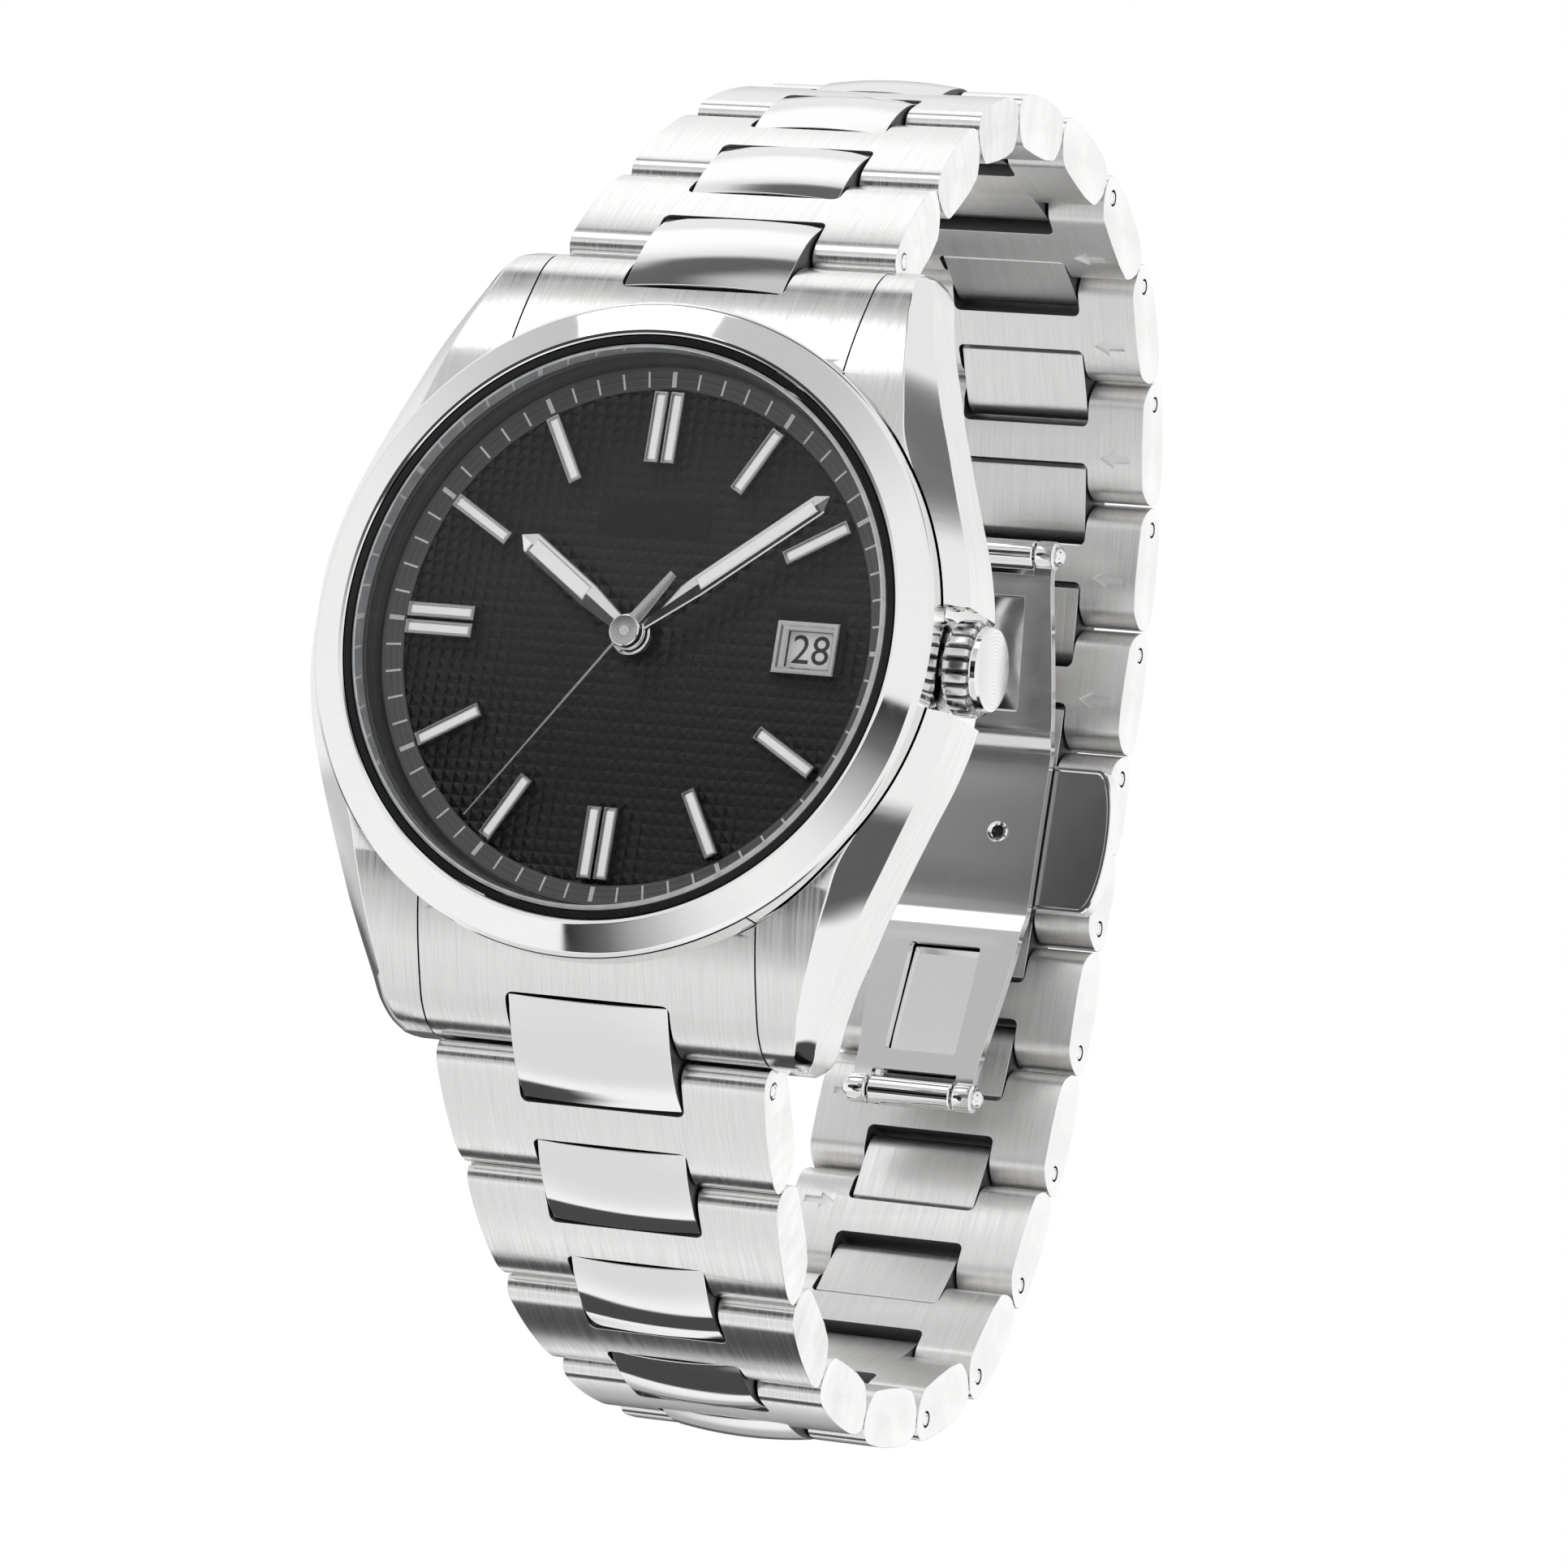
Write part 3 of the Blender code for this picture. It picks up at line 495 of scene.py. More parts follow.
def build_case_body():
    # slot 3, inner, is the darker mirror steel on the lug slot walls and the bore: painted shade
    top, mirror, flank, inner = 0, 1, 2, 3
    strips = [mirror] * 16
    strips[7], strips[3], strips[11] = top, flank, flank
    case = loft("case_body", case_sections(), (TOP_STEEL, MIRROR, FLANK_STEEL, MIRROR_PAINTED_SHADE), strips, mirror)
    for side, _ in SIDES:
        slot = prism(rectangle(-LUG_HALF_GAP, LUG_HALF_GAP, side * 11, side * 26), -3, 9, TOP_STEEL)
        boolean(slot, lathe("wall", ((0, -4), (BODY_R, -4), (BODY_R, 10), (0, 10)), (TOP_STEEL,)))
        for p in slot.data.polygons:
            p.material_index = inner
        boolean(case, slot)
    boolean(case, lathe("bore", ((0, -5), (SEAT_R, -5), (SEAT_R, SEAT_DEPTH), (16.05, SEAT_DEPTH),
        (16.05, 6.95), (16.85, 6.95), (16.85, 12), (0, 12)), (TOP_STEEL,), strips=[inner] * 8))
    notch = ((18.6, -2.95), (19.2, -2.95), (22, -3.35), (22, 3.35), (19.2, 2.95), (18.6, 2.95))
    cut(case, notch, -3, 9, mirror)
    boolean(case, lathe_x("tube", ((0, 15), (1.28, 15), (1.28, 19), (0, 19)), CROWN_DEPTH, 0, (TOP_STEEL,)))
    dress(case, "case", ("mid_case",), angle=24)


def build_rounds():
    dress(lathe("bezel_ring", ((16.68, -2.24), (16.75, -2.31), (16.92, -2.32), (16.99, -2.29),
        (18.42, -1.815), (18.52, -1.77), (18.68, -1.63), (18.74, -1.52), (18.74, -0.02), (16.68, -0.02)),
        (MIRROR,)), "case", replaces=("bezel",), angle=18)
    dress(lathe("crystal_disc", ((0, -2.36), (15.86, -2.36), (15.86, -1.30), (0, -1.30)), (SAPPHIRE,)),
        "case", ("crystal",), angle=20)
    # the crystal's edge ring carries the painted reflection
    dress(lathe("crystal_edge", ((15.88, -2.35), (15.97, -2.33), (16.12, -2.16), (16.12, -1.30),
        (15.88, -1.30)), (RIM_PAINTED_REFLECTION,)), "case", angle=20)
    ridges = [(16.2 + 0.4 * i / 8, -2.18 + (0.05 if i % 2 else 0.0)) for i in range(9)]
    dress(lathe("crystal_seal", ridges + [(16.6, -0.6), (16.2, -0.6)], (RUBBER,)), "case",
        ("crystal_gasket",), angle=20)
    dress(lathe("flange_ring", ((15.70, -1.2), (15.95, -1.2), (15.95, 0.62), (14.2, 0.62), (14.2, 0.53),
        (14.24, 0.49), (15.40, 0.315), (15.43, 0.42), (15.52, 0.42), (15.54, 0.25)), (FLANGE,)), "case",
        ("rehaut_ring",), angle=24)
    back = lathe("back_cover", ((0, 7.55), (14.9, 7.55), (14.9, 6.75), (15.9, 6.75), (15.9, 7.5), (16.7, 7.5),
        (16.7, 7.9), (15.6, 8.36), (15.5, 8.4), (13.1, 8.4), (13.0, 8.34), (12.8, 8.34), (12.7, 8.4),
        (0, 8.4)), (MIRROR, TURNED), strips=[0] * 12 + [1, 0])
    for i in range(6):
        a = math.radians(60 * i + 30)
        c, s = math.cos(a), math.sin(a)
        place = lambda u, v, h: at(u * c - v * s, h, u * s + v * c)
        cut(back, rectangle(14.0, 15.9, -0.9, 0.9), 7.95, 8.6, place=place)
    dress(back, "case", replaces=("case_back",), angle=20, edge=0.05)


def radial(angle, across, along):
    a = math.radians(angle)
    return across * math.cos(a) + along * math.sin(a), -across * math.sin(a) + along * math.cos(a)


def stacked_rectangles(levels, angle, offset=0.0):
    """Rectangle rings on the dial; levels hold (half width, near, far, depth)."""
    rings = []
    for w, near, far, depth in levels:
        places = [radial(angle, s + offset, r) for s, r in rectangle(-w, w, near, far)]
        rings.append([at(x, depth, z) for x, z in places])
    return rings


class Batch:
    """Collects closed solids into one mesh."""

    def __init__(self):
        self.verts, self.faces = [], []

    def loft(self, rings):
        base = len(self.verts)
        self.verts += [p for r in rings for p in r]
        self.faces += [tuple(base + i for i in f) for f in ring_faces(rings)]

    def piece(self, name, materials):
        return mesh_object(name, self.verts, self.faces, materials)


def bar_positions():
    for hour in range(1, 13):
        if hour != 3:
            for offset in ((-0.51, 0.51) if hour in (6, 9, 12) else (0.0,)):
                yield hour * 30, offset


def build_pyramids():
    """Relief of small pyramids in one mesh, leaving out the centre, the plaque and the date frame."""
    pitch, reach, apex, foot, sunk = 0.70, 15.1, 0.655, 0.80, 0.83
    count = int(reach / pitch) + 1
    cells = set()
    for i in range(-count, count):
        for j in range(-count, count):
            x, z = (i + 0.5) * pitch, (j + 0.5) * pitch
            plaque = abs(x) < 3.5 and abs(z - 6.65) < 0.75
            date = abs(x - DATE_X) < 2.2 and abs(z) < 1.85
            within = math.hypot(abs(x) + pitch / 2, abs(z) + pitch / 2) < reach and math.hypot(x, z) > 1.5
            if within and not plaque and not date:
                cells.add((i, j))
    verts, faces, index = [], [], {}

    def corner(i, j, depth):
        key = (i, j, depth)
        if key not in index:
            index[key] = len(verts)
            verts.append(at(i * pitch, depth, j * pitch))
        return index[key]

    for i, j in sorted(cells):
        square = ((i, j), (i + 1, j), (i + 1, j + 1), (i, j + 1))
        top = corner(i + 0.5, j + 0.5, apex)
        faces.append(tuple(corner(*c, sunk) for c in reversed(square)))
        for k, step in enumerate(((0, -1), (1, 0), (0, 1), (-1, 0))):
            a, b = square[k], square[(k + 1) % 4]
            faces.append((corner(*a, foot), corner(*b, foot), top))
            if (i + step[0], j + step[1]) not in cells:
                faces.append((corner(*a, sunk), corner(*b, sunk), corner(*b, foot), corner(*a, foot)))
    relief = mesh_object("dial_pyramids", verts, faces, (DIAL_BLACK,))
    dress(relief, "case", angle=5, weighted=False)


def build_date_frame():
    """Steel frame with a well down to the date disc whose deepest walls take the disc's white, painted light
    over the shade in the well; the window's half sizes are 1.4 and 1.05.
    """
    rings = []
    for grow, depth in ((0.45, 0.85), (0.45, 0.12), (0.38, 0.05), (0.20, 0.05), (0.10, 0.18), (0.02, 0.45),
            (0.0, 1.15)):
        hw, hz = 1.4 + grow * (1.885 - 1.4) / 0.45, 1.05 + grow
        rings.append([at(x, depth, z) for x, z in rectangle(DATE_X - hw, DATE_X + hw, -hz, hz)])
    n, last = 4, 4 * (len(rings) - 1)
    faces = ring_faces(rings, False) + [(last + i, last + (i + 1) % n, (i + 1) % n, i) for i in range(n)]
    ob = mesh_object("date_frame", [p for r in rings for p in r], faces, (FRAME_STEEL, DISC_WHITE))
    # the two deepest wall strips take the date disc's white: painted light where the well lies in shade
    for poly in ob.data.polygons[4 * n:6 * n]:
        poly.material_index = 1
    dress(ob, "case", angle=12, weighted=False)


def build_minute_track():
    track = Batch()
    for i in range(60):
        w = 0.135 if i % 5 == 0 else 0.06
        rings = []
        for lift in (0.03, -0.02):
            places = [(r, *radial(i * 6, s, r)) for s, r in rectangle(-w, w, 14.33, 15.20)]
            rings.append([at(x, 0.49 - (r - 14.24) * 0.1509 + lift, z) for r, x, z in places])
        track.loft(rings)
    dress(track.piece("minute_track", (PRINT,)), "case", angle=20, weighted=False)


def build_dial():
    plate = lathe("dial_plate", ((0.95, 0.80), (15.6, 0.80), (15.6, 1.05), (0.95, 1.05)), (DIAL_BLACK,))
    cut(plate, rectangle(9.2, 12.0, -1.05, 1.05), 0, 2)
    dress(plate, "case", ("dial",))
    build_pyramids()
    outline = rectangle(-3.45, 3.45, 6.0, 7.3)
    rings = [[at(x, depth, z) for x, z in outline] for depth in (0.83, 0.74)]
    plaque = loft("dial_plaque", rings, (DIAL_BLACK,))
    dress(plaque, "case", edge=0.03)

    frames, fills = Batch(), Batch()
    for angle, offset in bar_positions():
        frames.loft(stacked_rectangles(((0.435, 9.84, 14.0, 0.85), (0.435, 9.84, 14.0, 0.07),
            (0.385, 9.89, 13.95, 0.0), (0.315, 9.96, 13.88, 0.0), (0.225, 10.05, 13.79, 0.13),
            (0.225, 10.05, 13.79, 0.5)), angle, offset))
        fills.loft(stacked_rectangles(((0.22, 10.06, 13.78, 0.45), (0.22, 10.06, 13.78, 0.11),
            (0.19, 10.10, 13.74, 0.08)), angle, offset))
    dress(frames.piece("hour_bars", (MARKER_STEEL,)), "case", angle=20, weighted=False)
    dress(fills.piece("hour_bar_lume", (LUME_PAINTED_GLOW,)), "case", angle=20, weighted=False)
    build_date_frame()
    build_minute_track()
    disc = lathe("date_wheel", ((8.3, 1.17), (13.3, 1.17), (13.3, 1.34), (8.3, 1.34)), (DISC_WHITE,), 128)
    dress(disc, "date_disc", ("date_disc",))
    build_numerals()


def build_numerals():
    """Thirty-one printed dates; the twenty-eighth stands in the window."""
    verts, faces = [], []
    shown, radius, depth = 28, 10.5, 1.168
    for day in range(1, 32):
        text = bpy.data.curves.new("day", "FONT")
        text.body, text.size, text.align_x, text.align_y = str(day), 2.35 * MM, "CENTER", "CENTER"
        text.extrude, text.resolution_u = 0.006 * MM, 3
        ob = put("day", text)
        bpy.context.view_layer.update()
        me = bpy.data.meshes.new_from_object(ob.evaluated_get(DEPSGRAPH()))
        turn = Matrix.Rotation(math.tau * (day - shown) / 31, 4, "Y")
        place = turn @ Matrix.Translation((radius * MM, 0, 0)) @ Matrix.Rotation(math.pi / 2, 4, "X")
        base = len(verts)
        for v in me.vertices:
            p = place @ v.co
            verts.append(Vector((p.x, p.y + (depth - BACK) * MM, p.z)))
        faces += [tuple(base + i for i in p.vertices) for p in me.polygons]
        bpy.data.objects.remove(ob)
        bpy.data.meshes.remove(me)
        bpy.data.curves.remove(text)
    dress(mesh_object("date_numerals", verts, faces, (INK,)), "date_disc", angle=30, weighted=False)


# ---- hands ----
def swept(stations, angle, section):
    """Rings along a hand: (distance, half width) stations, section gives (across, depth) for a half width."""
    rings = []
    for r, w in stations:
        places = [(depth, *radial(angle, s, r)) for s, depth in section(w)]
        rings.append([at(x, depth, z) for depth, x, z in places])
    return rings


def hand_blade(name, stations, angle, edge, slope, under):
    """Ridged blade whose two facets keep one slope; edge and under are depths."""
    def section(w):
        rim = min(0.07, w * 0.3)
        return ((-w, under), (w, under), (w, edge + 0.06), (w - rim, edge), (0, edge - slope * w),
            (rim - w, edge), (-w, edge + 0.06))

    return loft(name, swept(stations, angle, section), (HAND_STEEL,))


def hand_lume(name, angle, near, far, half, ridge):
    """White fill lying on the blade, and the thin frame round it."""
    levels = ((0.08, 0.115), (0.08, 0.035), (0.05, 0.0))
    rim = loft(name + "_rim", stacked_rectangles([(half + g, near - g, far + g,
        ridge + d) for g, d in levels], angle), (HAND_STEEL,))
    levels = ((0.0, 0.085), (0.0, 0.005), (-0.04, -0.015))
    fill = loft(name + "_lume", stacked_rectangles([(half + g, near - g, far + g,
        ridge + d) for g, d in levels], angle), (LUME_PAINTED_GLOW,))
    return rim, fill


def build_hands():
    for name, angle, edge, ridge, under, stem, lume, tip, tube in (("hour_hand", HOUR_ANGLE, -0.03, -0.11,
            0.06, ((0.0, 0.40), (0.8, 0.44), (3.55, 0.70)), (3.75, 8.15), 9.2, (1.22, 0.62, -0.14, 0.12)),
            ("minute_hand", MINUTE_ANGLE, -0.42, -0.505, -0.35, ((0.0, 0.34), (0.8, 0.38), (4.75, 0.60)),
            (4.95, 12.75), 13.8, (1.02, 0.32, -0.56, -0.33))):
        wide = stem[-1][1]
        stations = stem + ((lume[1] + 0.1, wide), (lume[1] + 0.35, wide * 0.97), (tip, 0.03))
        blade = hand_blade(name + "_blade", stations, angle, edge, (edge - ridge) / wide, under)
        hub_r, bore, front, back = tube
        hub = lathe(name + "_hub", ((bore, front + 0.03), (bore + 0.03, front), (hub_r - 0.07, front),
            (hub_r, front + 0.06), (hub_r, back), (bore, back)), (HAND_STEEL,), 96)
        rim, fill = hand_lume(name, angle, *lume, wide - 0.33, ridge)
        dress(blade, name, replaces=(name,), angle=8, weighted=False)
        dress(hub, name, angle=20)
        dress(rim, name, angle=20, weighted=False)
        dress(fill, name, angle=20, weighted=False)
    needle = swept(((-4.2, 0.25), (-0.7, 0.40), (0.0, 0.3), (0.75, 0.085), (13.7, 0.035)), SECONDS_ANGLE,
        lambda w: ((-w, -0.82), (w, -0.82), (w, -0.90), (w * 0.6, -0.93), (-w * 0.6, -0.93), (-w, -0.90)))
    dress(loft("seconds_needle", needle, (SECONDS_STEEL,)), "seconds_hand", replaces=("seconds_hand",),
        angle=20, weighted=False)
    cap = ((0, -0.985), (0.10, -0.985), (0.12, -0.95), (0.20, -0.95), (0.22, -0.975), (0.27, -0.975),
        (0.30, -0.945), (0.78, -0.945), (0.84, -0.955), (0.90, -0.93), (0.92, -0.88), (0.92, -0.80),
        (0, -0.80))
    dress(lathe("seconds_cap", cap, (HAND_STEEL, SECONDS_STEEL), 96, strips=[0] * 6 + [1] * 2 + [0] * 5),
        "seconds_hand", angle=20)


# ---- crown ----
def build_crown():
    flutes = 22

    def fluted(r, a, h):
        """V-shaped grooves round the rim that run out before the cap."""
        if r < 2.45 or not 18.95 < h < 20.5:
            return r
        groove = max(0.0, 1 - abs((a * flutes / math.tau) % 1.0 - 0.5) / 0.24)
        return r - 0.34 * groove * min(1.0, max(0.0, (20.48 - h) / 0.14))

    body = ((1.35, 18.85), (2.42, 18.85), (2.55, 18.9), (2.64, 19.0), (2.69, 19.12), (2.70, 19.3),
        (2.70, 20.05), (2.68, 20.2), (2.56, 20.34), (2.46, 20.42))
    cap = ((2.40, 20.44), (2.36, 20.5), (2.36, 20.78), (2.28, 20.93), (2.12, 21.0), (0, 21.0), (0, 20.2),
        (0.55, 20.2), (0.55, 19.6), (1.35, 19.6))
    strips = [3] * (len(body) - 1) + [0] * 5 + [1] + [0] * 5
    crown = lathe_x("crown_knob", body + cap, CROWN_DEPTH, 0, (MIRROR, CAP_STEEL, GROOVE_PAINTED_SHADE, RIDGE_STEEL),
        flutes * 12, strips, fluted)
    # faces sunk into the flutes take slot 2, the dark groove steel: painted shade in the grooves
    for poly in crown.data.polygons:
        c = poly.center / MM
        if 19.0 < c.x < 20.46 and math.hypot(c.y - (CROWN_DEPTH - BACK), c.z) < 2.60:
            poly.material_index = 2
    dress(crown, "crown", replaces=("crown",), angle=25)


# ---- bracelet ----
def pins():
    out = [FIRST_PIN]
    for k in range(LINKS - 1):
        a = math.radians(LINK_DIRECTION[k])
        out.append((out[-1][0] + LINK_PITCH[k] * math.cos(a), out[-1][1] + LINK_PITCH[k] * math.sin(a)))
    return out


def link_profile(length, last):
    """Outline of a link seen from the side; the last one ends flat, the others in a round hinge knuckle."""
    e = length - 7.9
    front = ((3.3, 1.42), (length - 0.5, 1.12), (length - 0.06, 0.8), (length, 0.5), (length, -1.5),
        (length - 0.1, -1.85), (length - 0.4, -1.94)) if last else ((3.4, 1.5), (4.9 + e, 1.39),
        (5.75 + e, 1.12), (6.28 + e, 0.7), (6.34 + e, 0.0), (6.28 + e, -0.5), (5.85 + e, -1.21),
        (5.1 + e, -1.82))
    return ((-1.28, 0.62), (-0.85, 1.05), (0.3, 1.31), (1.9, 1.48), *front, (0.5, -1.96), (-0.2, -1.85),
        (-0.75, -1.4), (-1.2, -0.72), (-1.42, 0.0))


def arrow_outline(tip, tail, centre):
    """Flat arrow whose tip points down local X."""
    neck = tip + 0.95
    return [(tip, centre), (neck, centre + 0.55), (neck, centre + 0.22), (tail, centre + 0.22),
        (tail, centre - 0.22), (neck, centre - 0.22), (neck, centre - 0.55)]


def local(x, a, n):
    """A point of a link's own frame, in metres."""
    return Vector((x * MM, a * MM, n * MM))


def build_h_link(k, side, tag, pin):
    name = "link_%s_%02d" % (tag, k + 1)
    pitch, last, removable = LINK_PITCH[k], k == LINKS - 1, k >= FIRST_REMOVABLE
    matrix = link_matrix(pin, LINK_DIRECTION[k], side)
    w0, w1 = LINK_HALF_WIDTH[k], LINK_HALF_WIDTH[k + 1]
    width = lambda a: w0 + (w1 - w0) * min(1.0, max(0.0, (a + 1.42) / (pitch - 0.1)))
    profile = spline(link_profile(pin[1] - 0.05 if last else pitch, last), 3, True)
    link = loft("h_" + name, [[local(sign * width(a), a, n) for a, n in profile] for sign in (-1, 1)],
        (LINK_STEEL, RECESS_PAINTED_SHADE, FROST, INNER_STEEL_PAINTED_LIGHT))
    half = CENTRE_HALF_WIDTH[k] + NOTCH_GAP
    # the notch walls, and below the pin holes, are cut with slot 1, the near-black recess steel: painted
    # shade in the gaps
    cut(link, rounded_rectangle(-half, half, -4, 1.4, 0.4), -4, 4, 1, local)
    if not last:
        half = CENTRE_HALF_WIDTH[k + 1] + NOTCH_GAP
        cut(link, rounded_rectangle(-half, half, pitch - 4.2, pitch + 4, 0.4), -4, 4, 1, local)
    if k == 0 or removable:
        for sign in (-1, 1):
            cut(link, circle(0.50, 28), *sorted((sign * (w0 - 0.22), sign * (w0 + 1))), 1,
                lambda u, v, h: local(h, u, v))
    if removable:
        # engraved size-adjustment arrow on the wrist side
        cut(link, arrow_outline(5.0, 7.0, pitch / 2 - 0.6), -3, -1.84, 2, local)
    # faces toward the wrist take slot 3, the lighter and rougher inner steel: partly rougher finish, partly
    # painted light
    for poly in link.data.polygons:
        if poly.center.z < -0.4 * MM and abs(poly.normal.x) < 0.9 and poly.material_index < 2:
            poly.material_index = 3
    settle(link, matrix)
    dress(link, name, (name,), angle=34, edge=0.06)
    if k == 0 or removable:
        ends = Batch()
        for sign in (-1, 1):
            ends.loft([[local(sign * (w0 - inset), u, v) for u, v in circle(r, 28)] for r, inset in ((0.42,
                0.4), (0.42, 0.09), (0.36, 0.035), (0.27, 0.035), (0.22, 0.08))])
        ob = settle(ends.piece("pin_ends_%s_%02d" % (tag, k + 1), (MIRROR,)), matrix)
        dress(ob, name, angle=30, weighted=False)


def pillow(name, profile, half, crown, matrix):
    """Polished centre piece: profile (along, outward) carried across, its outer face crowned."""
    rings = []
    for i in range(15):
        t = -1 + 2 * i / 14
        rings.append([local(t * half, a, n - crown * t * t * min(1.0, max(0.0,
            (n - 0.5) / 0.7))) for a, n in profile])
    # the two side faces take slot 1, the near-black recess steel: painted shade in the notch gaps
    return settle(loft(name, rings, (MIRROR, RECESS_PAINTED_SHADE, INNER_STEEL_PAINTED_LIGHT), [0] * len(profile), 1), matrix)


def outer_arc(a0, n0, top_a, top_n, a1, n1, steps=14):
    """Smooth crown from one edge over the top to the other edge."""
    return spline(((a0, n0), ((a0 + top_a) / 2, n0 + (top_n - n0) * 0.78), (top_a, top_n),
        ((a1 + top_a) / 2, n1 + (top_n - n1) * 0.78), (a1, n1)), steps // 3)


def nose_corner(bend, reach):
    """Outer front edge of a centre piece past its pin, bent from the frame of the next link into its own."""
    c, s = math.cos(math.radians(bend)), math.sin(math.radians(bend))
    return reach * c - NOSE_HEIGHT * s, reach * s + NOSE_HEIGHT * c


def build_centre(k, side, tag, pin):
    p = LINK_PITCH[k]
    ca, cn = nose_corner(LINK_DIRECTION[k + 1] - LINK_DIRECTION[k], NOSE_REACH[k + 1])
    profile = outer_arc(p - 4.05, 1.56, p - 1.5, 1.86, p + ca, cn)
    profile += [(p + 1.19, 0.35), (p + 1.22, 0.0), (p + 1.13, -0.5), (p + 0.95, -0.9), (p + 0.6, -1.35),
        (p + 0.1, -1.68), (p - 0.4, -1.74), (p - 3.8, -1.74), (p - 4.05, -1.5)]
    ob = pillow("centre_%s_%02d" % (tag, k + 1), profile, CENTRE_HALF_WIDTH[k + 1], 0.30,
        link_matrix(pin, LINK_DIRECTION[k], side))
    # inner faces take slot 2, the lighter and rougher inner steel: partly rougher finish, partly painted
    # light
    for poly in ob.data.polygons:
        if poly.normal.z < -0.6:
            poly.material_index = 2
    dress(ob, "link_%s_%02d" % (tag, k + 1), angle=34, edge=0.05)


def build_end_link(side, tag):
    y1, z1 = FIRST_PIN
    top = spline(((-0.90, 9), (-0.86, 12), (-0.5, 14), (0.0, 16), (0.76, 18), (1.75, 20), (2.6, 21.4),
        (3.6, 22.3), (4.6, 22.75), (5.2, 22.78), (5.8, 22.36)), 4)
    profile = top + [(y1, z1 - 1.62), (7.1, 22.4), (7.4, 22.15), (7.5, 21.9), (7.5, 16), (7.3, 9)]
    rings = [[at(x, y, side * z) for y, z in profile] for x in (-END_LINK_W, END_LINK_W)]
    body = loft("end_piece_" + tag, rings, (TOP_STEEL, MIRROR_PAINTED_SHADE, RECESS_PAINTED_SHADE))
    matrix = link_matrix(FIRST_PIN, END_CENTRE_DIRECTION, side)
    half = CENTRE_HALF_WIDTH[0] + NOTCH_GAP
    # the notch walls take slot 2, the near-black recess steel: painted shade
    cut(body, rounded_rectangle(-half, half, -5.35, 4, 0.45), -1.2, 5, 2,
        lambda u, v, h: matrix @ local(u, v, h))
    # the cut walls toward the case take slot 1, the darker mirror steel: painted shade
    for radius, low, high in ((BODY_R + 0.1, -4, 12), (SEAT_R + 0.02, -6, SEAT_DEPTH + 0.05)):
        boolean(body, lathe("wall", ((0, low), (radius, low), (radius, high), (0, high)), (TOP_STEEL,),
            strips=[1] * 4))
    dress(body, "case", ("end_link_" + tag,), angle=30, edge=0.05)
    nose = nose_corner(LINK_DIRECTION[0] - END_CENTRE_DIRECTION, NOSE_REACH[0])
    profile = outer_arc(-5.2, 2.08, -2.4, 2.2, *nose)
    profile += [(1.19, 0.35), (1.22, 0.0), (1.13, -0.5), (0.95, -0.85), (0.45, -1.3), (-0.5, -1.5),
        (-4.0, -1.5), (-5.2, 0.0)]
    dress(pillow("end_centre_" + tag, profile, CENTRE_HALF_WIDTH[0], 0.28, matrix), "case", angle=34,
        edge=0.05)


def build_bracelet():
    for side, tag in SIDES:
        build_end_link(side, tag)
        for k, pin in enumerate(pins()):
            build_h_link(k, side, tag, pin)
            if k < LINKS - 1:
                build_centre(k, side, tag, pin)


# ---- clasp ----
def strip(name, path, thickness, materials, side=1):
    """Bent plate along (depth, height, half width) points, thickened away from the wrist."""
    rings = []
    for i, (y, z, w) in enumerate(path):
        a, b = path[max(0, i - 1)], path[min(len(path) - 1, i + 1)]
        t = Vector((b[0] - a[0], b[1] - a[1])).normalized()
        n = Vector((t.y, -t.x)) if t.y > 0 else Vector((-t.y, t.x))
        yo, zo = y + n.x * thickness, z + n.y * thickness
        rings.append([at(-w, y, side * z), at(w, y, side * z), at(w, yo, side * zo), at(-w, yo, side * zo)])
    return loft(name, rings, materials)


